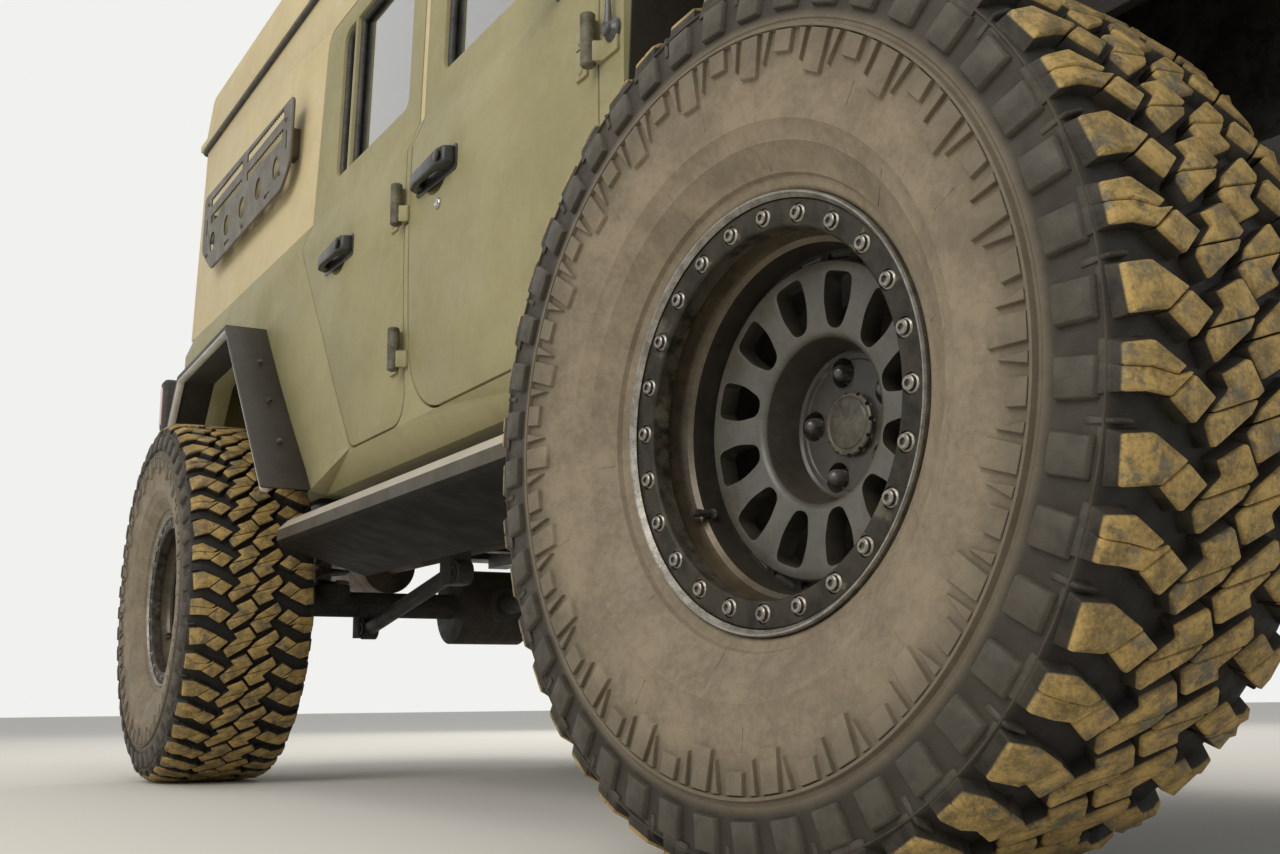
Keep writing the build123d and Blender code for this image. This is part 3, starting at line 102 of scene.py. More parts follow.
for lamp_name, place, aim, size, power in (
    ("key", (3.4, -6.2, 4.6), (0.3, -0.6, 0.9), 4.5, 250),
    ("top", (-0.6, 0.4, 7.5), (0.2, 0.0, 1.0), 6.0, 160),
    ("back", (-6.5, 4.5, 4.0), (-0.5, 0.0, 1.2), 4.0, 150),
):
    lamp = bpy.data.objects.new(lamp_name, bpy.data.lights.new(lamp_name, "AREA"))
    scene.collection.objects.link(lamp)
    lamp.data.size = size
    lamp.data.energy = power
    lamp.data.color = (1.0, 0.96, 0.89)
    lamp.location = place
    lamp.rotation_euler = (Vector(aim) - Vector(place)).to_track_quat("-Z", "Y").to_euler()

bpy.ops.mesh.primitive_circle_add(vertices=96, radius=70, fill_type="NGON")
floor = bpy.context.object
floor.name = "floor"
pale = bpy.data.materials.new("pale_floor")
pale.use_nodes = True
fill(pale.node_tree, pale.node_tree.nodes["Principled BSDF"], Base_Color=(0.80, 0.77, 0.70, 1), Roughness=0.9)
floor.data.materials.append(pale)
bpy.ops.object.select_all(action="DESELECT")

# Tyres
# Black rubber, moulded in one: a smooth carcass, blocks across the tread in four rows, square biters down the
# shoulders, a ring of short ribs on the sidewall and a rim guard at the bead. Road dust lies on all of it.
CIRCLE = 2 * pi


def chain(name, points, closed=False):
    """A new mesh object in edit mode: one vertex, extruded along the points, all selected."""
    bpy.ops.mesh.primitive_plane_add(size=0.01)
    made = bpy.context.object
    made.name = made.data.name = name
    bpy.ops.object.mode_set(mode="EDIT")
    bpy.ops.mesh.merge(type="CENTER")
    points = [Vector(p) for p in points]
    bpy.ops.transform.translate(value=points[0])
    for start, end in zip(points, points[1:]):
        bpy.ops.mesh.extrude_vertices_move(TRANSFORM_OT_translate={"value": end - start})
    bpy.ops.mesh.select_all(action="SELECT")
    if closed:
        bpy.ops.mesh.edge_face_add()
    return made


def faces_out():
    """Turns every face outwards and leaves edit mode."""
    bpy.ops.mesh.select_all(action="SELECT")
    bpy.ops.mesh.normals_make_consistent(inside=False)
    bpy.ops.object.mode_set(mode="OBJECT")


def draw_out(move):
    """Extrudes what is selected by a move into a closed block."""
    bpy.ops.mesh.extrude_region_move(TRANSFORM_OT_translate={"value": move})
    faces_out()


def lathe(name, profile, steps=96):
    """A solid of revolution about Z, from a closed outline of (radius, z)."""
    made = chain(name, [(r, 0, z) for r, z in profile + profile[:1]])
    bpy.ops.mesh.remove_doubles(threshold=1e-6)
    bpy.ops.mesh.select_all(action="SELECT")
    bpy.ops.mesh.spin(steps=steps, angle=CIRCLE, center=(0, 0, 0), axis=(0, 0, 1))
    bpy.ops.mesh.select_all(action="SELECT")
    bpy.ops.mesh.remove_doubles(threshold=1e-5)
    faces_out()
    return made


def apply_all(made):
    """Applies an object's modifiers in their order."""
    bpy.context.view_layer.objects.active = made
    for modifier in list(made.modifiers):
        bpy.ops.object.modifier_apply(modifier=modifier.name)


def soften(made, width, segments=2, angle=30, smooth=40):
    """Rounds the edges sharper than angle and shades the rest smooth."""
    if width:
        bevel = made.modifiers.new("bevel", "BEVEL")
        bevel.width = width
        bevel.segments = segments
        bevel.limit_method = "ANGLE"
        bevel.angle_limit = radians(angle)
        bevel.miter_outer = "MITER_ARC"
        bevel.harden_normals = False
        apply_all(made)
    pick(made)
    bpy.ops.object.shade_smooth_by_angle(angle=radians(smooth))
    return made


def pick(*objects):
    """Selects these objects alone; the first is the active one."""
    bpy.ops.object.select_all(action="DESELECT")
    for item in objects:
        item.select_set(True)
    bpy.context.view_layer.objects.active = objects[0]


def join(name, pieces):
    """Joins pieces into one object."""
    pick(*pieces)
    if len(pieces) > 1:
        bpy.ops.object.join()
    made = bpy.context.object
    made.name = made.data.name = name
    return made


def ring_of(made, count, turn=None):
    """Repeats a piece round Z count times, in one mesh."""
    step = bpy.data.objects.new("step", None)
    scene.collection.objects.link(step)
    step.rotation_euler = (0, 0, turn or CIRCLE / count)
    array = made.modifiers.new("array", "ARRAY")
    array.use_relative_offset = False
    array.use_object_offset = True
    array.offset_object = step
    array.count = count
    bpy.context.view_layer.update()
    apply_all(made)
    bpy.data.objects.remove(step)
    return made


def turned_copy(made, name, place=(0, 0, 0), turn=(0, 0, 0), flip=None):
    """A copy with its own mesh, flipped, turned and moved, with the place in its mesh."""
    pick(made)
    bpy.ops.object.duplicate()
    twin = bpy.context.object
    twin.name = twin.data.name = name
    twin.parent = None
    for mark in list(twin.keys()):
        del twin[mark]
    if flip:
        twin.scale = flip
        bpy.ops.object.transform_apply(location=False, rotation=False, scale=True)
        bpy.ops.object.mode_set(mode="EDIT")
        faces_out()
    twin.location = place
    twin.rotation_euler = turn
    bpy.ops.object.transform_apply(location=True, rotation=True, scale=True)
    return twin


groove_r = 0.4845
lug_count = 44
side_profile = [
    (0.2425, 0.1170), (0.2440, 0.1195), (0.2480, 0.1225), (0.2530, 0.1230), (0.2565, 0.1250),
    (0.2590, 0.1310), (0.2640, 0.1335), (0.2720, 0.1385), (0.2870, 0.1480), (0.2893, 0.1501),
    (0.2905, 0.1500), (0.3080, 0.1595), (0.3103, 0.1609), (0.3115, 0.1607), (0.3300, 0.1642),
    (0.3500, 0.1662), (0.3750, 0.1672), (0.3960, 0.1676), (0.4015, 0.1680), (0.4030, 0.1735),
    (0.4062, 0.1735), (0.4080, 0.1672), (0.4110, 0.1668), (0.4130, 0.1680), (0.4240, 0.1660),
    (0.4600, 0.1612), (0.4660, 0.1602), (0.4685, 0.1600), (0.4700, 0.1628), (0.4718, 0.1626),
    (0.4732, 0.1590), (0.4755, 0.1535), (0.4800, 0.1440), (groove_r, 0.1300), (groove_r + 0.001, 0.0450),
]
bead = [(0.2235, 0.0860), (0.2235, 0.0965), (0.2425, 0.0985)]
liner = [(0.466, -0.140), (0.44, -0.150), (0.33, -0.152), (0.27, -0.118), (0.235, -0.086), (0.235, 0.086),
         (0.27, 0.118), (0.33, 0.152), (0.44, 0.150), (0.466, 0.140)]
carcass = lathe("carcass", bead + side_profile + [(r, -z) for r, z in reversed(bead + side_profile)] + liner,
                steps=176)
soften(carcass, 0, smooth=35)


def between(rows, x):
    """The value at x on a line through rows of (x, value)."""
    for (x0, v0), (x1, v1) in zip(rows, rows[1:]):
        if x <= x1:
            return v0 + (v1 - v0) * (x - x0) / (x1 - x0)
    return rows[-1][1]


crown = ((0, 0.505), (0.09, 0.5046), (0.12, 0.503), (0.135, 0.5005), (0.15, 0.496), (0.16, 0.4885),
         (0.17, 0.4775))


def tread_block(name, corners, drop=0.0, draft=0.0048):
    """A tread block from rows of (s, a) in mm: s out from the middle plane, a along the tread."""
    s_mid = sum(s for s, a in corners) / len(corners) / 1000
    a_mid = sum(a for s, a in corners) / len(corners) / 1000
    top = []
    for s, a in corners:
        r = between(crown, abs(s) / 1000) - drop
        top.append((r * cos(a / 500), r * sin(a / 500), s / 1000))
    made = chain(name, top, closed=True)
    size_s = max(s for s, a in corners) / 1000 - s_mid
    size_a = max(a for s, a in corners) / 1000 - a_mid
    bpy.ops.mesh.extrude_region_move(TRANSFORM_OT_translate={"value": (-0.027, 0, 0)})
    bpy.ops.transform.resize(value=(1, 1 + draft / size_a, 1 + draft / size_s),
                             center_override=(0.48, a_mid, s_mid))
    faces_out()
    return soften(made, 0.0022, angle=25)


def along(corners, shift):
    """Corners moved along the tread."""
    return [(s, a + shift) for s, a in corners]


half_pitch = 71.4
inner_tip = [(89, 18), (61, 3.5), (88, -20.5), (117, -3.5)]
short_outer = [(157, 34), (133, 38), (91, 20.5), (119, -1.5), (130, -3), (154, -8)]
low_pad = [(161, 47), (147, 48.5), (145, 43.5), (161, 42.5)]
long_upper = [(159, 37), (136, 41), (101, 24.5), (112, 16.5), (140, 20), (159, 19)]
long_lower = [(159, 18), (140, 19), (111, 15.5), (91, 20.5), (119, -1.5), (142, 0), (159, -2)]
middle_upper = [(11, 41), (-9, 17), (0.5, 10), (62, -8.5), (38, 12.5), (48, 23.5)]
middle_lower = [(-0.5, 8), (9, -5), (58, -37.5), (70, -19.5), (64, -11)]
# A short shoulder block, its inner tip behind a sipe and the low pad above it. Half a pitch on comes a long
# block, which runs over the shoulder in two halves. Two middle blocks stand beside each.
blocks = [tread_block("short_outer", short_outer), tread_block("short_tip", inner_tip),
          tread_block("pad", low_pad, drop=0.0085, draft=0.003)]
blocks += [tread_block("long_block", along(corners, half_pitch))
           for corners in (long_upper, long_lower, inner_tip)]
for shift in (0, half_pitch):
    blocks += [tread_block("middle_block", along(corners, shift)) for corners in (middle_upper, middle_lower)]


def side_block(name, corners, rise, draft, width=0.0012):
    """A raised block on the sidewall, from rows of (radius in mm, degrees), proud of it by rise."""
    top = [(r / 1000 * cos(radians(a)), r / 1000 * sin(radians(a)),
            between(side_profile[:-4], r / 1000) + rise) for r, a in corners]
    made = chain(name, top, closed=True)
    middle = sum((Vector(p) for p in top), Vector()) / len(top)
    size_r = max(p[0] for p in top) - middle.x
    size_a = max(p[1] for p in top) - middle.y
    bpy.ops.mesh.extrude_region_move(TRANSFORM_OT_translate={"value": (0, 0, -rise - 0.004)})
    bpy.ops.transform.resize(value=(1 + draft / size_r, 1 + draft / size_a, 1), center_override=middle)
    faces_out()
    return soften(made, width, segments=1, angle=25)


lug_turn = 360 / lug_count
biter_phase = 1.3
for k in range(2):
    turn = k * lug_turn + biter_phase
    corners = [(427, turn - 2.25), (463, turn - 2.1), (463, turn + 2.1), (427, turn + 2.25)]
    blocks.append(side_block("biter", corners, 0.0076, 0.0030))
for corners in (
    [(356, -2.0), (401, -1.9), (401, 1.7), (358, 2.2)],
    [(368, 3.4), (401, 3.1), (401, 4.5)],
    [(378, 6.3), (401, 6.4), (401, 10.0), (378, 10.0)],
    [(366, 12.6), (401, 11.6), (401, 13.1)],
):
    blocks.append(side_block("side_rib", corners, 0.0056, 0.0014, width=0.0006))
half_tread = join("half_tread", blocks)
lines = []
for low, high, turn in ((262, 312, 9), (326, 356, 24), (262, 300, 41), (334, 358, 55)):
    corners = [(low, turn), (high, turn - 0.1), (high, turn + 0.15), (low, turn + 0.25)]
    lines.append(side_block("line", corners, 0.0007, 0.0003, width=0))
mould_line = join("mould_line", lines)
other_tread = turned_copy(half_tread, "other_tread", turn=(pi, 0, -0.004))
other_line = turned_copy(mould_line, "other_line", turn=(pi, 0, 0.3))
for half, count in ((half_tread, lug_count // 2), (other_tread, lug_count // 2), (mould_line, 5),
                    (other_line, 5)):
    ring_of(half, count)
master_tyre = join("master_tyre", [carcass, half_tread, other_tread, mould_line, other_line])


def keep_place(made):
    """Stores each point's place in the wheel's own frame, which its finish reads."""
    own = made.data.attributes.new("own_place", "FLOAT_VECTOR", "POINT")
    own.data.foreach_set("vector", [x for v in made.data.vertices for x in v.co])


keep_place(master_tyre)
relief = master_tyre.data.attributes.new("relief", "FLOAT_VECTOR", "POINT")
relief.data.foreach_set("vector", [x for v in master_tyre.data.vertices for x in (
    between(crown, abs(v.co.z)) - hypot(v.co.x, v.co.y),
    abs(v.co.z) - between(side_profile, hypot(v.co.x, v.co.y)), 0)])


def new_material(name):
    """An empty node material with its output, ready for a Principled shader."""
    made = bpy.data.materials.new(name)
    made.use_nodes = True
    made.node_tree.nodes.clear()
    shader = put(made.node_tree, "BsdfPrincipled")
    out = put(made.node_tree, "OutputMaterial")
    made.node_tree.links.new(shader.outputs[0], out.inputs[0])
    return made, made.node_tree, shader


def group(name, inputs, outputs):
    """An empty shader node group with its sockets: rows of (name, kind, value)."""
    made = bpy.data.node_groups.new(name, "ShaderNodeTree")
    for socket, kind, value in inputs:
        item = made.interface.new_socket(socket, in_out="INPUT", socket_type="NodeSocket" + kind)
        if value is not None:
            item.default_value = value
    for socket, kind in outputs:
        made.interface.new_socket(socket, in_out="OUTPUT", socket_type="NodeSocket" + kind)
    return made, made.nodes.new("NodeGroupInput").outputs, made.nodes.new("NodeGroupOutput").inputs


def use(tree, shared, **values):
    """Places a shared node group in a tree and sets its inputs."""
    item = tree.nodes.new("ShaderNodeGroup")
    item.node_tree = shared
    return fill(tree, item, **values)


def blend_colours(tree, first, second, mask, kind="MIX"):
    """Mixes two colours, sockets or values, by a mask socket or number; gives the result's socket."""
    item = tree.nodes.new("ShaderNodeMix")
    item.data_type = "RGBA"
    item.blend_type = kind
    for place, value in ((6, first), (7, second), (0, mask)):
        plug(tree, value, item.inputs[place])
    return item.outputs[2]


def sums(tree, kind, *values, clamp=False):
    """A Math node on sockets or numbers; gives its result's socket."""
    item = put(tree, "Math", operation=kind, use_clamp=clamp)
    for place, value in enumerate(values):
        plug(tree, value, item.inputs[place])
    return item.outputs[0]


def ramp_between(tree, value, low, high, bottom=0.0, top=1.0):
    """Maps a value from low..high to bottom..top, smoothly and held at both ends."""
    item = put(tree, "MapRange", interpolation_type="SMOOTHSTEP", clamp=True, Value=value, From_Min=low,
               From_Max=high, To_Min=bottom, To_Max=top)
    return item.outputs[0]


def noise(tree, place, scale, detail=4.0, rough=0.6):
    """Soft cloud at a scale; gives its value's socket."""
    return put(tree, "TexNoise", Vector=place, Scale=scale, Detail=detail, Roughness=rough).outputs[0]


# Mottle: two scales of soft cloud between a darker and a lighter tone, as on weathered paint, rubber or iron
mottle, given, result = group("mottle", [("Place", "Vector", None), ("Light", "Color", (1, 1, 1, 1)),
                                         ("Dark", "Color", (0, 0, 0, 1)), ("Size", "Float", 8.0)],
                              [("Color", "Color")])
coarse = noise(mottle, given["Place"], given["Size"], 5.0, 0.62)
fine = noise(mottle, given["Place"], sums(mottle, "MULTIPLY", given["Size"], 7.3), 3.0, 0.7)
cloud = sums(mottle, "ADD", sums(mottle, "MULTIPLY", coarse, 0.65), sums(mottle, "MULTIPLY", fine, 0.35))
mottle.links.new(blend_colours(mottle, given["Dark"], given["Light"],
                               ramp_between(mottle, cloud, 0.36, 0.64)), result["Color"])

# Grain: the fine relief of a cast, moulded or sprayed surface, as a height
grain, given, result = group("grain", [("Place", "Vector", None), ("Size", "Float", 400.0),
                                       ("Depth", "Float", 1.0)], [("Height", "Float")])
pits = put(grain, "TexVoronoi", feature="SMOOTH_F1", Smoothness=0.6, Vector=given["Place"],
           Scale=given["Size"])
swell = put(grain, "TexNoise", Vector=given["Place"], Scale=sums(grain, "MULTIPLY", given["Size"], 0.4),
            Detail=3.0)
relief = sums(grain, "ADD", pits.outputs[0], sums(grain, "MULTIPLY", swell.outputs[0], 0.8))
grain.links.new(sums(grain, "MULTIPLY", relief, given["Depth"]), result["Height"])

# Road dust: lies thicker on faces that look up and near the ground, in patches and in fine specks
dust, given, result = group("road_dust", [("Place", "Vector", None), ("Color", "Color", None),
                                          ("Dust", "Color", (0.45, 0.36, 0.24, 1)), ("Amount", "Float", 0.3),
                                          ("Reach", "Float", 1.0)], [("Color", "Color"), ("Mask", "Float")])
shape = put(dust, "NewGeometry")
facing = put(dust, "SeparateXYZ", Vector=shape.outputs["Normal"])
spot = put(dust, "SeparateXYZ", Vector=shape.outputs["Position"])
upward = ramp_between(dust, facing.outputs["Z"], -0.1, 1.0, 0.25, 1.0)
low = sums(dust, "SUBTRACT", 1.15, sums(dust, "DIVIDE", spot.outputs["Z"], given["Reach"]), clamp=True)
patch = ramp_between(dust, noise(dust, given["Place"], 5.0, 6.0, 0.65), 0.38, 0.66)
specks = ramp_between(dust, noise(dust, given["Place"], 160.0, 2.0), 0.5, 0.68)
thick = sums(dust, "ADD", sums(dust, "MULTIPLY", upward, low),
             sums(dust, "MULTIPLY", sums(dust, "ADD", patch, sums(dust, "MULTIPLY", specks, 0.5)), 0.45))
cover = sums(dust, "MULTIPLY", thick, given["Amount"], clamp=True)
dust.links.new(blend_colours(dust, given["Color"], given["Dust"], cover), result["Color"])
dust.links.new(cover, result["Mask"])

# Edge wear: the outer edges rub paler than the faces, unevenly
wear, given, result = group("edge_wear", [("Place", "Vector", None), ("Color", "Color", None),
                                          ("Worn", "Color", (0.4, 0.4, 0.4, 1)), ("Amount", "Float", 0.5)],
                            [("Color", "Color"), ("Mask", "Float")])
shape = put(wear, "NewGeometry")
edge = ramp_between(wear, shape.outputs["Pointiness"], 0.51, 0.58)
rubbed = sums(wear, "MULTIPLY", edge, ramp_between(wear, noise(wear, given["Place"], 45.0, 5.0), 0.35, 0.6))
rubbed = sums(wear, "MULTIPLY", rubbed, given["Amount"], clamp=True)
wear.links.new(blend_colours(wear, given["Color"], given["Worn"], rubbed), result["Color"])
wear.links.new(rubbed, result["Mask"])

# Rubber: near black in the grooves as painted shade, brown-grey with dust on the sidewall, tan on the worn
# block tops
rubber, tree, shader = new_material("tyre_rubber")
own = put(tree, "Attribute", attribute_name="own_place")
place = own.outputs["Vector"]
parts = put(tree, "SeparateXYZ", Vector=place).outputs
radius = sums(tree, "SQRT", sums(tree, "ADD", sums(tree, "MULTIPLY", parts["X"], parts["X"]),
                                 sums(tree, "MULTIPLY", parts["Y"], parts["Y"])))
offset = sums(tree, "ABSOLUTE", parts["Z"])
side = use(tree, mottle, Place=place, Light=(0.275, 0.222, 0.150, 1), Dark=(0.180, 0.146, 0.098, 1),
           Size=14.0)
top = use(tree, mottle, Place=place, Light=(0.52, 0.350, 0.112, 1), Dark=(0.17, 0.120, 0.046, 1), Size=34.0)
stain = use(tree, mottle, Place=place, Light=(0.205, 0.185, 0.125, 1), Dark=(0.060, 0.055, 0.045, 1),
            Size=60.0)
stained = blend_colours(tree, top.outputs[0], stain.outputs[0],
                        ramp_between(tree, noise(tree, place, 26.0, 5.0, 0.7), 0.51, 0.63, 0.0, 0.9))
relief = put(tree, "Attribute", attribute_name="relief").outputs["Vector"]
levels = put(tree, "SeparateXYZ", Vector=relief).outputs
depth, rise = levels["X"], levels["Y"]
tread_zone = sums(tree, "MULTIPLY", ramp_between(tree, radius, 0.470, 0.476),
                  ramp_between(tree, offset, 0.172, 0.164))
worn_top = sums(tree, "MULTIPLY", ramp_between(tree, depth, 0.0058, 0.0034), tread_zone)
shoulder = ramp_between(tree, radius, 0.410, 0.425)
wall = blend_colours(tree, side.outputs[0], (0.110, 0.092, 0.066, 1),
                     ramp_between(tree, radius, 0.350, 0.400, 0.0, 0.62))
# Painted shade: the shoulder floor between the biters is painted near black, patchily. The raised biters get
# their own dark grey back below.
patchy_painted_recess_shade = ramp_between(tree, noise(tree, place, 9.0), 0.3, 0.7, 0.84, 0.96)
wall = blend_colours(tree, wall, (0.030, 0.0255, 0.019, 1), sums(tree, "MULTIPLY", shoulder, patchy_painted_recess_shade))
raised = sums(tree, "MULTIPLY", ramp_between(tree, rise, 0.0018, 0.0040), shoulder)
wall = blend_colours(tree, wall, (0.062, 0.056, 0.044, 1), sums(tree, "MULTIPLY", raised, 0.75))
# Painted shade: the deeper a groove floor lies, the nearer black it is painted.
painted_groove_shade = sums(tree, "MULTIPLY", ramp_between(tree, depth, 0.0022, 0.0048), tread_zone)
tone = blend_colours(tree, wall, (0.016, 0.0135, 0.010, 1), painted_groove_shade)
tone = blend_colours(tree, tone, stained, worn_top)
worn = use(tree, wear, Place=place, Color=tone, Worn=(0.34, 0.28, 0.18, 1), Amount=0.08)
pebble = use(tree, grain, Place=place, Size=520.0, Depth=1.0)
fill(tree, shader, Base_Color=worn.outputs["Color"], Specular_IOR_Level=0.35,
     Roughness=ramp_between(tree, noise(tree, place, 40.0), 0.3, 0.7, 0.52, 0.76),
     Normal=put(tree, "Bump", Strength=0.35, Distance=0.0006, Height=pebble.outputs[0]).outputs[0])
master_tyre.data.materials.clear()
master_tyre.data.materials.append(rubber)

# Where the wheels stand. Each is the wheel's centre, its turn, and the body that it rides on.
steer = radians(6)
wheelbase = 2.947
axle_x = {"front": 0.3 + wheelbase / 2, "rear": 0.3 - wheelbase / 2}
axle_height = 0.505
stands = {}
for end in ("front", "rear"):
    for hand, side in (("right", 1), ("left", -1)):
        swing = Matrix.Rotation(steer if end == "front" else 0, 3, "Z") @ Vector((0, -side * 0.12, 0))
        stands[end + "_" + hand] = (Vector((axle_x[end], -side * 0.74, axle_height)) + swing,
                                    (side * pi / 2, 0, steer if end == "front" else 0),
                                    end + "_" + hand + "_wheel")
stands["spare"] = (Vector((-2.245, 0, 1.43)), (0, -pi / 2, 0), "tailgate")
for corner, (spot, turn, body) in stands.items():
    node = "spare_tyre" if corner == "spare" else "tyre_" + corner
    tyre = turned_copy(master_tyre, "tread_tyre_" + corner, place=spot, turn=turn)
    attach(tyre, body)
    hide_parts(node)
bpy.data.objects.remove(master_tyre)

# Wheels
# Cast aluminium in satin black. The tyre's outer bead is clamped by a ring with 24 zinc bolts, inside a rim
# edge painted bright as a sky reflection. The face is a disc with twelve windows, and its hub well holds five
# domed nuts.


def cut(made, cutter):
    """Takes a cutter's shape out of a piece and removes the cutter."""
    boolean = made.modifiers.new("cut", "BOOLEAN")
    boolean.operation = "DIFFERENCE"
    boolean.solver = "EXACT"
    boolean.object = cutter
    apply_all(made)
    bpy.data.objects.remove(cutter)
    return made


def prism(name, corners, low, high):
    """A straight block between two heights, from rows of (x, y)."""
    made = chain(name, [(x, y, low) for x, y in corners], closed=True)
    draw_out((0, 0, high - low))
    return made


def rounded(corners, radius, steps=4, share=0.48):
    """A closed outline of (x, y) with each corner drawn as an arc of about that radius, or of its own from a
    list. An arc takes up no more than a share of the straight on each side."""
    radii = radius if isinstance(radius, list) else [radius] * len(corners)
    points = []
    for before, here, after, limit in zip(corners[-1:] + corners[:-1], corners, corners[1:] + corners[:1],
                                          radii):
        here, before, after = Vector(here), Vector(before), Vector(after)
        reach = min(limit, (before - here).length * share, (after - here).length * share)
        start = here + (before - here).normalized() * reach
        end = here + (after - here).normalized() * reach
        for k in range(steps + 1):
            t = k / steps
            points.append(tuple(start * (1 - t) ** 2 + here * 2 * t * (1 - t) + end * t ** 2))
    return points


def polar(radius, degrees):
    """The point (x, y) at a radius and an angle."""
    return (radius * cos(radians(degrees)), radius * sin(radians(degrees)))


def stand(made, place, turn=0, axis="X"):
    """Turns a new piece about an axis through its origin and moves it to a place."""
    made.data.transform(Matrix.Translation(place) @ Matrix.Rotation(turn, 4, axis))


bolt_phase, nut_phase = 12.5, 29.0
bolt_circle, nut_circle = 0.2170, 0.0635
bolt_count, nut_count, window_count = 24, 5, 12
barrel = lathe("barrel", [
    (0.2390, -0.1180), (0.2390, -0.1080), (0.2300, -0.1050), (0.2180, -0.1000), (0.2180, -0.0620),
    (0.1960, -0.0420), (0.1960, 0.0620), (0.2180, 0.0780), (0.2180, 0.0990), (0.2310, 0.1000),
    (0.2415, 0.1010), (0.2420, 0.1235), (0.2405, 0.1258), (0.2385, 0.1255), (0.2340, 0.1200),
    (0.2338, 0.1080), (0.2090, 0.1080), (0.2075, 0.0760), (0.2030, 0.0680), (0.2005, 0.0640),
    (0.2005, 0.0600), (0.1975, 0.0585), (0.1968, 0.0540), (0.1985, 0.0520), (0.1985, 0.0480),
    (0.1960, 0.0455), (0.1955, 0.0260), (0.1870, 0.0220), (0.1870, -0.0360), (0.2090, -0.0560),
    (0.2090, -0.1180),
], steps=144)
soften(barrel, 0, smooth=28)
disc = lathe("disc", [
    (0.1955, 0.0260), (0.1885, 0.0270), (0.1815, 0.0290), (0.1800, 0.0310), (0.1795, 0.0420),
    (0.1775, 0.0445), (0.1660, 0.0458), (0.1020, 0.0385), (0.0975, 0.0365), (0.0940, 0.0320),
    (0.0850, -0.0100), (0.0815, -0.0125), (0.0760, -0.0128), (0.0745, -0.0145), (0.0400, -0.0148),
    (0.0, -0.0148), (0.0, -0.0380), (0.0880, -0.0380), (0.1030, 0.0080), (0.1660, 0.0215), (0.1870, 0.0160),
    (0.1960, 0.0160),
], steps=144)
window_line = [polar(0.168, -7.6), polar(0.168, 7.6), polar(0.135, 9.2), polar(0.104, 5.6),
               polar(0.104, -5.6), polar(0.135, -9.2)]
window = prism("window", rounded(window_line, 0.011), -0.02, 0.12)
window.data.transform(Matrix.Rotation(radians(bolt_phase), 4, "Z"))
ring_of(window, window_count)
cut(disc, window)
pocket_line = [polar(0.1925, -5.6), polar(0.1925, 5.6), polar(0.1822, 5.4), polar(0.1822, -5.4)]
pocket = prism("pocket", rounded(pocket_line, 0.003), 0.0175, 0.12)
pocket.data.transform(Matrix.Rotation(radians(bolt_phase + 180 / bolt_count), 4, "Z"))
ring_of(pocket, bolt_count)
cut(disc, pocket)
well = lathe("well", [(0.0, -0.034), (0.0168, -0.034), (0.0178, -0.010), (0.0, -0.010)], steps=32)
stand(well, (*polar(nut_circle, nut_phase), 0))
ring_of(well, nut_count)
cut(disc, well)
soften(disc, 0.0014, angle=32, smooth=32)

clamp_ring = lathe("clamp_ring", [
    (0.2030, 0.0950), (0.2335, 0.0950), (0.2335, 0.1176), (0.2322, 0.1188), (0.2060, 0.1188),
    (0.2030, 0.1160),
], steps=144)
recess = lathe("recess", [(0.0, 0.1166), (0.0113, 0.1166), (0.0113, 0.13), (0.0, 0.13)], steps=28)
stand(recess, (*polar(bolt_circle, bolt_phase), 0))
ring_of(recess, bolt_count)
cut(clamp_ring, recess)
soften(clamp_ring, 0.0005, segments=1, smooth=30)

# One bolt: a flange, a round head and a six-sided socket
bolt = lathe("bolt", [(0.0, 0.1150), (0.0102, 0.1150), (0.0102, 0.1178), (0.0092, 0.1188), (0.0082, 0.1192),
                      (0.0078, 0.1230), (0.0066, 0.1240), (0.0, 0.1240)], steps=26)
socket = prism("socket", [polar(0.0042, 60 * k) for k in range(6)], 0.1205, 0.13)
cut(bolt, socket)
soften(bolt, 0, smooth=40)
stand(bolt, (*polar(bolt_circle, bolt_phase), 0))
ring_of(bolt, bolt_count)

# One nut: a six-sided skirt under a dome
nut = prism("nut", [polar(0.0108, 60 * k) for k in range(6)], -0.034, -0.017)
soften(nut, 0.001, smooth=30)
dome = lathe("dome", [(0.0, -0.019), (0.0099, -0.019), (0.0101, -0.0150), (0.0092, -0.0085),
                      (0.0066, -0.0040), (0.0030, -0.0020), (0.0, -0.0016)], steps=28)
soften(dome, 0, smooth=50)
nut = join("nut", [nut, dome])
stand(nut, (*polar(nut_circle, nut_phase), 0))
ring_of(nut, nut_count)

# The cap: a round plate with notches round its edge, and a raised middle left bare
cap = lathe("cap", [(0.0, -0.0155), (0.0372, -0.0155), (0.0372, -0.0080), (0.0352, -0.0062),
                    (0.0315, -0.0060), (0.0305, -0.0072), (0.0290, -0.0072), (0.0280, -0.0060),
                    (0.0, -0.0052)], steps=72)
notch_line = [polar(0.034, -3.4), polar(0.034, 3.4), polar(0.041, 5), polar(0.041, -5)]
notch = prism("notch", rounded(notch_line, 0.001), -0.013, 0)
ring_of(notch, 12)
cut(cap, notch)
soften(cap, 0.0006, smooth=30)

# The valve stem stands in the barrel, in a rubber foot
stem = lathe("stem", [(0.0, 0.0), (0.0066, 0.0), (0.0066, 0.004), (0.0044, 0.009), (0.0044, 0.020),
                      (0.0050, 0.0205), (0.0050, 0.031), (0.0040, 0.0325), (0.0, 0.0325)], steps=20)
soften(stem, 0, smooth=40)
stem.data.transform(Matrix.Rotation(radians(-153), 4, "Z") @ Matrix.Translation((0.193, 0, 0.052)))

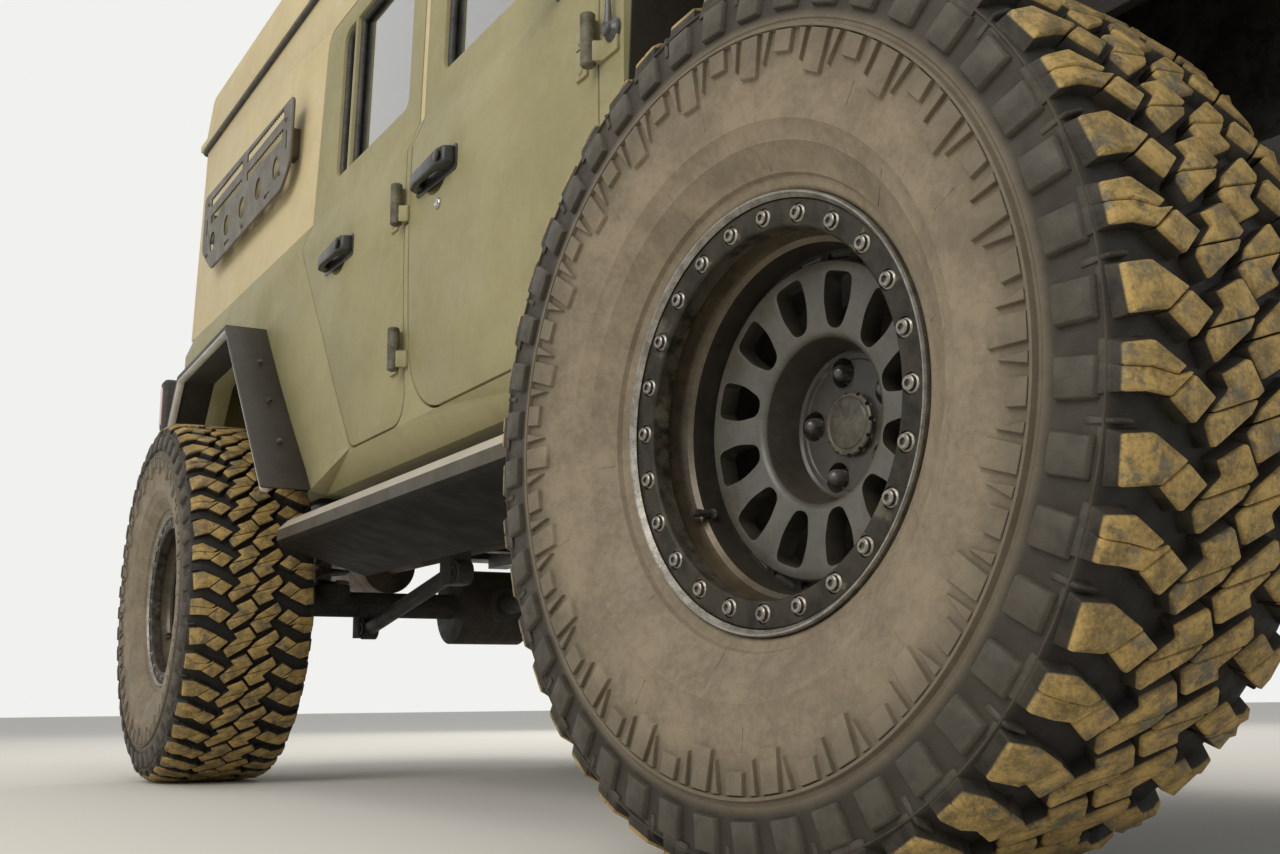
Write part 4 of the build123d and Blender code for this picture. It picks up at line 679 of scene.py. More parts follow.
# The brake disc behind the windows, with its hat
brake = lathe("brake", [
    (0.0, -0.0530), (0.0860, -0.0530), (0.0880, -0.0560), (0.1000, -0.0575), (0.1640, -0.0575),
    (0.1650, -0.0585), (0.1650, -0.0660), (0.1560, -0.0660), (0.1560, -0.0700), (0.1650, -0.0700),
    (0.1650, -0.0760), (0.1640, -0.0770), (0.0, -0.0770),
], steps=96)
soften(brake, 0, smooth=30)
hub = lathe("hub", [(0.0, -0.0380), (0.0700, -0.0380), (0.0700, -0.0530), (0.0, -0.0530)], steps=64)
soften(hub, 0.001)
brake = join("brake", [brake, hub])


def coating(name, light, dark, size=10.0, rough=(0.45, 0.65), metal=0.0, grain_size=500.0, relief=0.3,
            dusty=0.25, dust_colour=(0.36, 0.29, 0.19, 1), reach=1.2, worn=(0.3, 0.3, 0.3, 1), rub=0.4,
            own_frame=False, coat=0.0, specular=0.5):
    """A finish from the shared effects: mottle, dust, edge wear and grain, each with its own values."""
    made, tree, shader = new_material(name)
    if own_frame:
        place = put(tree, "Attribute", attribute_name="own_place").outputs["Vector"]
    else:
        place = put(tree, "TexCoord").outputs["Object"]
    base = use(tree, mottle, Place=place, Light=(*light, 1), Dark=(*dark, 1), Size=size)
    edges = use(tree, wear, Place=place, Color=base.outputs["Color"], Worn=worn, Amount=rub)
    film = use(tree, dust, Place=place, Color=edges.outputs["Color"], Dust=dust_colour, Amount=dusty,
               Reach=reach)
    pebble = use(tree, grain, Place=place, Size=grain_size, Depth=1.0)
    polish = ramp_between(tree, noise(tree, place, size * 1.7, 5.0), 0.3, 0.7, *rough)
    matt = sums(tree, "MULTIPLY", film.outputs["Mask"], 0.5)
    roughness = sums(tree, "ADD", polish, matt, clamp=True)
    bump = put(tree, "Bump", Strength=relief, Distance=0.0006, Height=pebble.outputs["Height"])
    fill(tree, shader, Base_Color=film.outputs["Color"], Roughness=roughness, Normal=bump.outputs[0],
         Metallic=metal, Specular_IOR_Level=specular)
    if coat:
        fill(tree, shader, Coat_Weight=coat, Coat_Roughness=0.25)
    return made


satin_black = coating("wheel_black", (0.032, 0.029, 0.023), (0.018, 0.0165, 0.013), size=16,
                      rough=(0.27, 0.42), grain_size=900, relief=0.10, dusty=0.07, rub=0.25,
                      worn=(0.16, 0.15, 0.13, 1), own_frame=True)
# Painted highlight: a lighter copy of the satin black that stands for the sheen of the light on the spokes.
spoke_face_painted_highlight = coating("wheel_face_painted_highlight", (0.100, 0.095, 0.079), (0.064, 0.060, 0.049), size=16, rough=(0.25, 0.38),
                     grain_size=900, relief=0.10, dusty=0.05, rub=0.25, worn=(0.20, 0.19, 0.16, 1),
                     own_frame=True)
ring_black = coating("ring_black", (0.016, 0.0145, 0.010), (0.008, 0.0074, 0.0055), size=22,
                     rough=(0.40, 0.50), grain_size=900, relief=0.12, dusty=0.04, rub=0.5,
                     worn=(0.20, 0.17, 0.12, 1), own_frame=True, specular=0.22)
# Painted reflection: the rim's outer lip gets a bright metal colour that stands for the sky mirrored in it.
rim_lip_painted_reflection = coating("rim_lip_painted_sky_reflection", (0.40, 0.38, 0.34), (0.17, 0.16, 0.14), size=60, rough=(0.28, 0.46),
                   metal=0.8, grain_size=700, relief=0.25, dusty=0.12, rub=0.3, own_frame=True)
# Painted reflection: the satin black barrel's inner band is tinted bronze for a warm reflection, with real
# dust over it.
barrel_band_painted_reflection = coating("barrel_band_painted_bronze_reflection", (0.085, 0.068, 0.042), (0.035, 0.030, 0.022), size=7,
                      rough=(0.16, 0.30), metal=0.45, grain_size=900, relief=0.06, dusty=0.20,
                      dust_colour=(0.30, 0.21, 0.10, 1), rub=0.3, own_frame=True)
zinc = coating("bolt_zinc", (0.36, 0.34, 0.30), (0.13, 0.12, 0.105), size=240, rough=(0.24, 0.46),
               metal=0.95, relief=0.2, dusty=0.18, rub=0.3, own_frame=True)
nut_black = coating("nut_black", (0.030, 0.029, 0.027), (0.016, 0.015, 0.014), size=90, rough=(0.16, 0.28),
                    relief=0.05, dusty=0.08, rub=0.3, own_frame=True, coat=0.4)
cap_metal = coating("cap_metal", (0.105, 0.100, 0.082), (0.048, 0.045, 0.037), size=70, rough=(0.30, 0.48),
                    metal=0.7, relief=0.2, dusty=0.2, rub=0.5, own_frame=True)
iron = coating("brake_iron", (0.060, 0.046, 0.036), (0.028, 0.023, 0.019), size=40, rough=(0.45, 0.7),
               metal=0.6, relief=0.3, dusty=0.25, rub=0.2, own_frame=True)


def dress(made, *materials):
    """Gives a piece its materials; with more than one, the caller sets each face's own."""
    made.data.materials.clear()
    for item in materials:
        made.data.materials.append(item)
    return made


dress(barrel, satin_black, rim_lip_painted_reflection, barrel_band_painted_reflection)
# Faces on the outer lip take the painted sky reflection.
for face in barrel.data.polygons:
    x, y, z = face.center
    r = hypot(x, y)
    face.material_index = 1 if r > 0.2352 and z > 0.1 else 2 if 0.19 < r < 0.2085 and 0.045 < z < 0.107 else 0
for piece, finish in ((disc, satin_black), (clamp_ring, ring_black), (bolt, zinc), (nut, nut_black),
                      (cap, cap_metal), (stem, nut_black), (brake, iron)):
    dress(piece, finish)
    keep_place(piece)
keep_place(barrel)
# The outer faces of the spokes take the painted highlight.
dress(disc, satin_black, spoke_face_painted_highlight)
for face in disc.data.polygons:
    face.material_index = int(hypot(face.center.x, face.center.y) > 0.094 and face.center.z > 0.034)
for corner, (spot, turn, body) in stands.items():
    node = "spare_wheel" if corner == "spare" else "wheel_" + corner
    for piece, label, record_slot in (
        (barrel, "rim_barrel_", "wheel"), (disc, "rim_face_", "wheel"), (clamp_ring, "clamp_ring_", "wheel"),
        (bolt, "clamp_bolts_", "link_steel"), (nut, "wheel_nuts_", "wheel"), (cap, "hub_cap_", "wheel"),
        (stem, "valve_", "moulded_black"), (brake, "brake_disc_", "cast_black"),
    ):
        if corner == "spare" and piece is brake:
            continue
        made = turned_copy(piece, label + corner, place=spot, turn=turn)
        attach(made, body)
        if piece == barrel:
            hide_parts(node)
for piece in (barrel, disc, clamp_ring, bolt, nut, cap, stem, brake):
    bpy.data.objects.remove(piece)

# Frame, axles and running gear
# Pressed and welded steel in black paint, dusty from the road. The castings are rougher and the rods are
# plated.


def rounded_copy(node, name, width, body, finish, segments=2, angle=30, keep=None):
    """A merged copy of a CAD node with rounded edges, which stands for it. keep may cut parts away first."""
    made = turned_copy(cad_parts[node], name)
    bpy.ops.object.mode_set(mode="EDIT")
    bpy.ops.mesh.select_all(action="SELECT")
    bpy.ops.mesh.remove_doubles(threshold=2e-5)
    if keep:
        bpy.ops.object.mode_set(mode="OBJECT")
        keep(made)
        bpy.ops.object.mode_set(mode="EDIT")
    bpy.ops.mesh.select_all(action="SELECT")
    bpy.ops.mesh.dissolve_limited(angle_limit=radians(0.6))
    bpy.ops.mesh.customdata_custom_splitnormals_clear()
    bpy.ops.object.mode_set(mode="OBJECT")
    soften(made, width, segments=segments, angle=angle)
    dress(made, finish)
    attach(made, body)
    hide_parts(node)
    return made


def place_on(piece, body, record_slot, finish, *nodes):
    """Finishes a new piece: its material, the body it rides on and any nodes it replaces. record_slot is not
    used.
    """
    dress(piece, finish)
    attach(piece, body)
    if nodes:
        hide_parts(*nodes)
    return piece


def rounded_box(x0, x1, y0, y1, radius):
    """A rectangle with rounded corners, as a closed outline of (x, y)."""
    return rounded([(x0, y0), (x1, y0), (x1, y1), (x0, y1)], radius)


def bar(name, points, radius, steps=16, smooth=True, closed=False):
    """A round bar through points, as a curve made into a mesh. It is smooth between them, or straight."""
    curve = bpy.data.curves.new(name, "CURVE")
    curve.dimensions = "3D"
    curve.bevel_depth = radius
    curve.bevel_resolution = max(1, steps // 4)
    curve.use_fill_caps = not closed
    line = curve.splines.new("NURBS" if smooth and len(points) > 2 else "POLY")
    line.points.add(len(points) - 1)
    for point, place in zip(line.points, points):
        point.co = (*place, 1)
    line.use_cyclic_u = closed
    line.use_endpoint_u = True
    line.order_u = 3
    curve.resolution_u = 8
    made = bpy.data.objects.new(name, curve)
    scene.collection.objects.link(made)
    pick(made)
    bpy.ops.object.convert(target="MESH")
    return soften(bpy.context.object, 0, smooth=50 if closed else 40)


# Painted shade: these base colours are darkened below the parts' own tones for the shade under the body. The
# frame's black is darkened somewhat, the engine's and the exhaust's far more.
chassis_black = coating("chassis_black", (0.022, 0.0205, 0.0175), (0.011, 0.0105, 0.009), size=9,
                        rough=(0.42, 0.62), grain_size=420, relief=0.35, dusty=0.10, reach=0.8, rub=0.04)
casting = coating("cast_iron_black", (0.030, 0.0275, 0.024), (0.012, 0.0115, 0.0105), size=14,
                  rough=(0.55, 0.75), grain_size=260, relief=0.8, dusty=0.16, reach=0.8, rub=0.08)
plated = coating("plated_rod", (0.085, 0.08, 0.07), (0.038, 0.036, 0.032), size=40, rough=(0.28, 0.5),
                 metal=0.85, grain_size=600, relief=0.15, dusty=0.35, reach=0.9, rub=0.2)
spring_paint = coating("spring_coat", (0.050, 0.048, 0.045), (0.022, 0.021, 0.020), size=20,
                       rough=(0.35, 0.5), relief=0.2, dusty=0.35, rub=0.4)
shock_body = coating("shock_metal", (0.30, 0.285, 0.25), (0.16, 0.15, 0.135), size=30, rough=(0.25, 0.45),
                     metal=0.8, relief=0.1, dusty=0.35, rub=0.2)
engine_alloy_painted_shade = coating("engine_alloy", (0.060, 0.056, 0.049), (0.026, 0.024, 0.021), size=10,
                       rough=(0.42, 0.62), metal=0.55, grain_size=240, relief=0.6, dusty=0.35, rub=0.3)
exhaust_steel_painted_shade = coating("exhaust_steel", (0.13, 0.105, 0.078), (0.055, 0.044, 0.032), size=12,
                     rough=(0.34, 0.55), metal=0.75, grain_size=300, relief=0.3, dusty=0.35, rub=0.2)
moulded = coating("moulded_black", (0.026, 0.025, 0.022), (0.014, 0.0135, 0.012), size=18,
                  rough=(0.55, 0.72), grain_size=700, relief=0.5, dusty=0.22, rub=0.15)

rounded_copy("frame_rails", "ladder_frame", 0.004, "chassis", chassis_black)
rounded_copy("front_axle", "front_axle_housing", 0.005, "chassis", casting)
rounded_copy("rear_axle", "rear_axle_housing", 0.005, "chassis", casting)
rounded_copy("knuckle_right", "steering_knuckle_right", 0.003, "knuckle_right", casting)
rounded_copy("knuckle_left", "steering_knuckle_left", 0.003, "knuckle_left", casting)
rounded_copy("tie_rod", "tie_rod_bar", 0.0015, "track_rod", plated)
rounded_copy("drag_link", "drag_link_bar", 0.0015, "drag_rod", plated)
rounded_copy("pitman_arm", "drop_arm_forging", 0.003, "drop_arm", casting)
rounded_copy("powertrain", "engine_and_gearbox", 0.014, "chassis", engine_alloy_painted_shade, segments=3)
rounded_copy("propeller_shafts", "propeller_tubes", 0.002, "chassis", chassis_black)
rounded_copy("exhaust", "exhaust_run", 0.004, "chassis", exhaust_steel_painted_shade)
rounded_copy("fuel_tank", "fuel_tank_shell", 0.010, "chassis", moulded, segments=3)

# Coil springs and gas shocks, one set at each corner. Each spring is a wire wound six and a half turns.
spring_y, spring_radius, wire_radius, coils = 0.5, 0.0475, 0.0072, 6.5
spring_low, spring_high, steps = 0.5665, 0.7935, 156
springs = []
for end in ("front", "rear"):
    for side in (-1, 1):
        points = []
        for k in range(steps + 1):
            angle = CIRCLE * coils * k / steps
            climb = min(1, max(0, (k - 8) / (steps - 16)))
            points.append((axle_x[end] + spring_radius * cos(angle),
                           side * spring_y + spring_radius * sin(angle),
                           spring_low + (spring_high - spring_low) * climb))
        springs.append(bar("coil", points, wire_radius, smooth=False))
place_on(join("coil_springs", springs), "chassis", "spring_black", spring_paint, "springs_and_shocks")
shocks = []
for end in ("front", "rear"):
    for side in (-1, 1):
        x, y = axle_x[end] - 0.105, side * 0.495
        tube = lathe("tube", [(0.0, 0.5255), (0.012, 0.5255), (0.014, 0.536), (0.0265, 0.540),
                              (0.027, 0.546), (0.027, 0.680), (0.0262, 0.6815), (0.0262, 0.686),
                              (0.027, 0.6875), (0.0265, 0.693), (0.012, 0.696), (0.0095, 0.696),
                              (0.0095, 0.785), (0.016, 0.787), (0.016, 0.7995), (0.0, 0.7995)], steps=32)
        soften(tube, 0, smooth=35)
        stand(tube, (x, y, 0))
        shocks.append(tube)
place_on(join("shock_absorbers", shocks), "chassis", "spring_black", shock_body)

# Control arms: tubes with a rubber bush in an eye at each end
arm_pieces = [turned_copy(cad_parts["control_arms"], "arms")]
for x, z in ((axle_x["front"] - 0.045, 0.43), (axle_x["rear"] + 0.045, 0.43), (1.058, 0.54), (-0.418, 0.54)):
    for side in (-1, 1):
        eye = lathe("eye", [(0.011, -0.026), (0.019, -0.026), (0.019, -0.0225), (0.029, -0.0225),
                            (0.031, -0.0205), (0.031, 0.0205), (0.029, 0.0225), (0.019, 0.0225),
                            (0.019, 0.026), (0.011, 0.026)], steps=28)
        stand(eye, (x, side * 0.395, z), pi / 2)
        arm_pieces.append(soften(eye, 0, smooth=35))
place_on(join("control_arm_tubes", arm_pieces), "chassis", "chassis_black", chassis_black, "control_arms")

# Steel brake lines are clipped along the tops of both axle tubes
for end in ("front", "rear"):
    lines = []
    for side in (-1, 1):
        x, z = axle_x[end] - 0.030, axle_height + 0.0345
        lines.append(bar("line", [(x, side * 0.14, z), (x, side * 0.30, z), (x, side * 0.54, z)], 0.0024,
                         steps=8, smooth=False))
        for y in (0.20, 0.36, 0.50):
            clip_line = rounded_box(x - 0.006, x + 0.006, side * y - 0.007, side * y + 0.007, 0.002)
            clip = prism("clip", clip_line, z - 0.006, z + 0.0034)
            lines.append(soften(clip, 0.0008, segments=1))
    place_on(join("brake_lines_" + end, lines), "chassis", "link_steel", plated)

# Body tub and load bay
# Pressed steel sides, cowl and floor, sprayed with a textured olive coating. The rockers turn under at the
# bottom.
skin_rows = ((0.66, 0.790), (0.797, 0.790), (0.90, 0.79486), (1.00, 0.79813), (1.10, 0.80000),
             (1.20, 0.80048), (1.30, 0.79943), (1.405, 0.796), (1.475, 0.768), (2.20, 0.741), (2.3, 0.741))


def skin(z):
    """Half the body's width over its outer skin at a height."""
    return between(skin_rows, z)


def bare_skin(made):
    """Takes off what stands proud of the body's sides or tail, and closes the holes that it leaves."""
    bpy.ops.object.mode_set(mode="EDIT")
    bpy.ops.mesh.select_mode(type="VERT")
    bpy.ops.mesh.select_all(action="DESELECT")
    bpy.ops.object.mode_set(mode="OBJECT")
    for v in made.data.vertices:
        v.select = abs(v.co.y) > skin(v.co.z) + 0.0025 or v.co.x < -1.9525
    bpy.ops.object.mode_set(mode="EDIT")
    bpy.ops.mesh.delete(type="VERT")
    bpy.ops.mesh.select_all(action="SELECT")
    bpy.ops.mesh.fill_holes(sides=0)
    bpy.ops.object.mode_set(mode="OBJECT")


def bare_tub(made):
    """Bares the tub's skin and draws its rockers in under the sliders."""
    bare_skin(made)
    for v in made.data.vertices:
        if v.co.z < 0.733 and abs(v.co.y) > 0.72:
            v.co.y -= 0.046 if v.co.y > 0 else -0.046


def spray(name, light, dark, **more):
    """A body coating: a fine pebbled texture, faded and dusty in patches."""
    values = {"size": 3.2, "rough": (0.50, 0.66), "grain_size": 340, "relief": 0.42, "dusty": 0.20,
              "dust_colour": (0.40, 0.33, 0.22, 1), "rub": 0.30, "reach": 1.6}
    values.update(more)
    return coating(name, light, dark, **values)


olive = spray("olive_spray", (0.335, 0.298, 0.141), (0.280, 0.250, 0.118), worn=(0.40, 0.37, 0.25, 1),
              dusty=0.14)
tan = spray("tan_spray", (0.700, 0.580, 0.310), (0.620, 0.505, 0.265), worn=(0.66, 0.58, 0.42, 1), dusty=0.14)
olive_dark = spray("hinge_olive", (0.060, 0.056, 0.030), (0.030, 0.028, 0.018), worn=(0.25, 0.24, 0.16, 1),
                   size=20)
rounded_copy("body_tub", "tub_shell", 0.004, "chassis", olive, keep=bare_tub)
rounded_copy("load_bay", "load_bay_pressing", 0.003, "chassis", olive)

# Rock sliders: a square tube with a rolled edge and a skid plate turned under it, on three legs to the frame.
# The one coating is painted in three tones of light and shade: a lit pale top, a shaded brown side and
# near-black shadow underneath. Dust and edge wear lie on it as well.
slider_painted_lit_top = coating("slider_painted_lit_coating", (0.54, 0.485, 0.395), (0.400, 0.355, 0.285), size=5,
                      rough=(0.34, 0.52), grain_size=330, relief=0.4, dusty=0.22, reach=1.0, rub=0.8,
                      worn=(0.50, 0.46, 0.39, 1))
slider_painted_shaded_side = coating("slider_painted_shaded_side", (0.075, 0.066, 0.048), (0.046, 0.040, 0.029), size=7,
                      rough=(0.40, 0.58), specular=0.3, grain_size=330, relief=0.4, dusty=0.12, reach=1.0,
                      rub=0.0, worn=(0.36, 0.33, 0.27, 1))
slider_painted_shadow_under = coating("slider_painted_shadow_under", (0.014, 0.0125, 0.010), (0.008, 0.0072, 0.006), size=7,
                       rough=(0.55, 0.7), specular=0.12, grain_size=330, relief=0.4, dusty=0.02, reach=1.0,
                       rub=0.0)
sliders = rounded_copy("rock_sliders", "rock_slider_rails", 0.005, "chassis", slider_painted_lit_top,
                       segments=3, angle=20)
dress(sliders, slider_painted_lit_top, slider_painted_shaded_side, slider_painted_shadow_under)
# Each face takes its painted tone by the way it faces: lit facing up, shaded facing out, shadowed facing
# down.
for face in sliders.data.polygons:
    upward, outward = face.normal.z, abs(face.center.y)
    face.material_index = 0 if upward > 0.32 else 1 if upward > -0.1 and outward > 0.84 else 2

# Flares: folded plate, charcoal on the side, with a bright rolled lip along the outer edge
flare_coat = coating("flare_coating", (0.038, 0.034, 0.027), (0.024, 0.0215, 0.017), size=6,
                     rough=(0.46, 0.53), specular=0.3, grain_size=330, relief=0.4, dusty=0.03, reach=1.6,
                     rub=0.0, worn=(0.34, 0.32, 0.28, 1))
rounded_copy("rear_flares", "rear_flare_plates", 0.003, "chassis", flare_coat)
rounded_copy("front_fenders", "front_fender_plates", 0.004, "chassis", flare_coat)
lip_coat = coating("flare_lip", (0.74, 0.71, 0.64), (0.54, 0.51, 0.455), size=12, rough=(0.30, 0.48),
                   metal=0.3, grain_size=400, relief=0.3, dusty=0.14, reach=1.6, rub=0.5,
                   worn=(0.62, 0.58, 0.52, 1))
lip_section = ((0.9142, 0.001), (0.9142, 0.011), (0.904, 0.0155), (0.893, 0.0155), (0.893, 0.001))
arch_line = [(-0.4615, 0.735), (-0.900, 1.2485), (-1.4925, 1.2235), (-1.694, 1.004), (-1.709, 0.686)]
for side, hand in ((-1, "right"), (1, "left")):
    lips = []
    for (x0, z0), (x1, z1) in zip(arch_line[:-1], arch_line[1:-1]):
        run = Vector((x1 - x0, 0, z1 - z0))
        out = Vector((-run.z, 0, run.x)).normalized() * (1 if run.x < 0 else -1)
        lip = chain("lip", [Vector((x0, side * y, z0)) + out * d for y, d in lip_section], closed=True)
        draw_out(run)
        lips.append(soften(lip, 0.0022, segments=2, angle=25))
    place_on(join("flare_lip_" + hand, lips), "chassis", "flare_coat", lip_coat)
    # Bolts along the root of each flare
    bolts = []
    for (x0, z0), (x1, z1) in zip(arch_line[:-1], arch_line[1:-1]):
        run = Vector((x1 - x0, 0, z1 - z0))
        for k in range(1, 4):
            spot = Vector((x0, 0, z0)) + run * (k / 4)
            out = Vector((run.z, 0, -run.x)).normalized() * (-1 if run.x < 0 else 1)
            head = lathe("head", [(0.0, 0.0), (0.0075, 0.0), (0.0075, 0.0015), (0.0055, 0.002),
                                  (0.0052, 0.0055), (0.0, 0.0062)], steps=12)
            facing = Vector((out.x, 0, out.z)).normalized() * -1
            turn = Vector((0, 0, 1)).rotation_difference(facing).to_matrix().to_4x4()
            place = spot + Vector((0, side * 0.845, 0)) + out * -0.0160
            head.data.transform(Matrix.Translation(place) @ turn)
            bolts.append(soften(head, 0))
    place_on(join("flare_bolts_" + hand, bolts), "chassis", "link_steel", plated)

# Doors
# Four pressed doors in the same olive. Each hangs on two lift-off hinges and has a black pull handle over a
# dished cup. The glass sits in a rubber channel.
rubber_trim = coating("trim_rubber", (0.026, 0.025, 0.023), (0.014, 0.0135, 0.012), size=30,
                      rough=(0.50, 0.68), grain_size=900, relief=0.25, dusty=0.16, rub=0.1)
handle_black = coating("handle_black", (0.014, 0.0135, 0.012), (0.009, 0.0085, 0.0075), size=24,
                       rough=(0.32, 0.42), specular=0.35, grain_size=900, relief=0.15, dusty=0.05, rub=0.25,
                       worn=(0.12, 0.115, 0.10, 1), coat=0.25)
bright = coating("lock_chrome", (0.50, 0.49, 0.46), (0.36, 0.35, 0.33), size=60, rough=(0.16, 0.28),
                 metal=1.0, relief=0.05, dusty=0.1, rub=0.1)
mast_grey = coating("mast_grey", (0.085, 0.083, 0.078), (0.050, 0.049, 0.046), size=60, rough=(0.26, 0.4),
                    metal=0.3, relief=0.1, dusty=0.08, rub=0.3)

# Window glass: tinted grey-green, with a faint film of dust and a bright reflection of the sky
pane_glass, tree, shader = new_material("window_glass")
place = put(tree, "TexCoord").outputs["Object"]
film = use(tree, dust, Place=place, Color=(0.40, 0.43, 0.40, 1), Dust=(0.5, 0.45, 0.36, 1), Amount=0.10,
           Reach=2.0)
fill(tree, shader, Base_Color=film.outputs["Color"], Transmission_Weight=1.0, IOR=1.6,
     Roughness=ramp_between(tree, noise(tree, place, 7.0, 6.0, 0.7), 0.42, 0.7, 0.02, 0.07), Coat_Weight=1.0,
     Coat_Roughness=0.02, Coat_IOR=2.3)
for pane in ("glass_front_right", "glass_front_left", "glass_rear_right", "glass_rear_left", "fixed_glass"):
    dress(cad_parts[pane], pane_glass)

hinge_y, hinge_radius, hinge_half = 0.820, 0.013, 0.048
hinge_heights = (0.95, 1.275)
front_hinge_x, rear_hinge_x = 1.100, 0.203
windows = {
    "front": [[(0.328, 1.545, 0.030), (0.92700, 1.545, 0.030), (0.69145, 1.958, 0.040),
               (0.328, 1.958, 0.030)]],
    "rear": [[(0.120, 1.545, 0.030), (0.120, 1.958, 0.040), (-0.300, 1.958, 0.004), (-0.300, 1.545, 0.004)],
             [(-0.318, 1.545, 0.004), (-0.318, 1.958, 0.004), (-0.405, 1.958, 0.040),
              (-0.405, 1.545, 0.030)]],
}


def closed_bar(name, points, radius):
    """A closed loop of round section through the points."""
    return bar(name, points, radius, steps=8, smooth=False, closed=True)


def hinge_parts(x, z):
    """The two halves of one hinge on the right side: (door half, body half)."""
    top = lathe("top", [(0.0, 0.0002), (hinge_radius, 0.0002), (hinge_radius, hinge_half - 0.004),
                        (hinge_radius - 0.003, hinge_half - 0.001), (0.006, hinge_half), (0.0, hinge_half)],
                steps=28)
    stand(top, (x, -hinge_y, z))
    leaf = chain("leaf", [(x - 0.004, -skin(z) + 0.001, z + 0.042), (x - 0.004, -hinge_y - 0.006, z + 0.042),
                          (x - 0.020, -hinge_y + 0.004, z + 0.042), (x - 0.030, -skin(z) - 0.006, z + 0.042),
                          (x - 0.070, -skin(z) - 0.006, z + 0.042), (x - 0.074, -skin(z) - 0.003, z + 0.042),
                          (x - 0.074, -skin(z) + 0.001, z + 0.042)], closed=True)
    draw_out((0, 0, -0.036))
    foot = prism("foot", rounded_box(x - 0.074, x - 0.034, -skin(z) - 0.006, -skin(z) + 0.001, 0.002),
                 z - 0.044, z + 0.012)
    bolts = []
    for dx, dz in ((-0.055, 0.026), (-0.055, -0.028)):
        head = lathe("head", [(0.0, -0.003), (0.0088, -0.003), (0.0088, 0.0015), (0.0074, 0.0030),
                              (0.0040, 0.0036), (0.0, 0.0036)], steps=18)
        stand(head, (x + dx, -skin(z) - 0.006, z + dz), pi / 2)
        bolts.append(head)
    door_half = [soften(top, 0, smooth=35), soften(leaf, 0.0018), soften(foot, 0.0012),
                 *(soften(b, 0) for b in bolts)]
    low = lathe("low", [(0.0, -0.0002), (hinge_radius, -0.0002), (hinge_radius, 0.003 - hinge_half),
                        (hinge_radius - 0.003, -hinge_half), (0.0, -hinge_half)], steps=28)
    stand(low, (x, -hinge_y, z))
    reach = 0.072 if x > 1 else 0.026
    arm = chain("arm", [(x + 0.003, -skin(z) + 0.001, z - 0.006), (x + 0.003, -hinge_y - 0.006, z - 0.006),
                        (x + 0.016, -hinge_y + 0.003, z - 0.006), (x + 0.022, -skin(z) - 0.006, z - 0.006),
                        (x + reach, -skin(z) - 0.006, z - 0.006), (x + reach, -skin(z) + 0.001, z - 0.006)],
                closed=True)
    draw_out((0, 0, -0.036))
    return door_half, [soften(low, 0, smooth=35), soften(arm, 0.0018)]


def pull_handle(x):
    """A black pull handle on the right side: a bowed grip on two feet, and the button in its front foot."""
    middle_z = 1.29
    y = skin(middle_z)
    grip = prism("grip", [(x - 0.1025, -y + 0.002), (x - 0.1025, -y - 0.010), (x - 0.090, -y - 0.026),
                          (x - 0.050, -y - 0.0345), (x + 0.030, -y - 0.0345), (x + 0.075, -y - 0.0340),
                          (x + 0.0965, -y - 0.026), (x + 0.1025, -y - 0.010), (x + 0.1025, -y + 0.002),
                          (x + 0.064, -y + 0.002), (x + 0.056, -y - 0.012), (x + 0.030, -y - 0.018),
                          (x - 0.040, -y - 0.018), (x - 0.058, -y - 0.012), (x - 0.064, -y + 0.002)], 1.2735,
                 1.3065)
    for v in grip.data.vertices:
        reach = (v.co.x - x) / 0.1
        v.co.z += 0.004 * reach
        v.co.z = middle_z + (v.co.z - middle_z) * (1.0 + 0.22 * reach)
    soften(grip, 0.0062, segments=4, angle=25, smooth=60)
    button = lathe("button", [(0.0, 0.0), (0.0125, 0.0), (0.0125, 0.0030), (0.0105, 0.0045), (0.0, 0.0052)],
                   steps=28)
    stand(button, (x + 0.080, -y - 0.0325, 1.2945), pi / 2)
    pad = prism("pad", rounded([(-0.112, -0.024), (0.112, -0.028), (0.112, 0.030), (-0.112, 0.022)], 0.014),
                0, 0.0032)
    stand(pad, (x, -y + 0.0012, middle_z), pi / 2)
    return [grip, soften(button, 0), soften(pad, 0.001)]


def cuboid(place, size):
    """A plain block with its middle at a place."""
    bpy.ops.mesh.primitive_cube_add(size=1, location=place)
    made = bpy.context.object
    made.dimensions = size
    bpy.ops.object.transform_apply(location=True, rotation=True, scale=True)
    return made


mirror_x, mirror_y, mirror_z = 0.949, -0.9125, 1.562


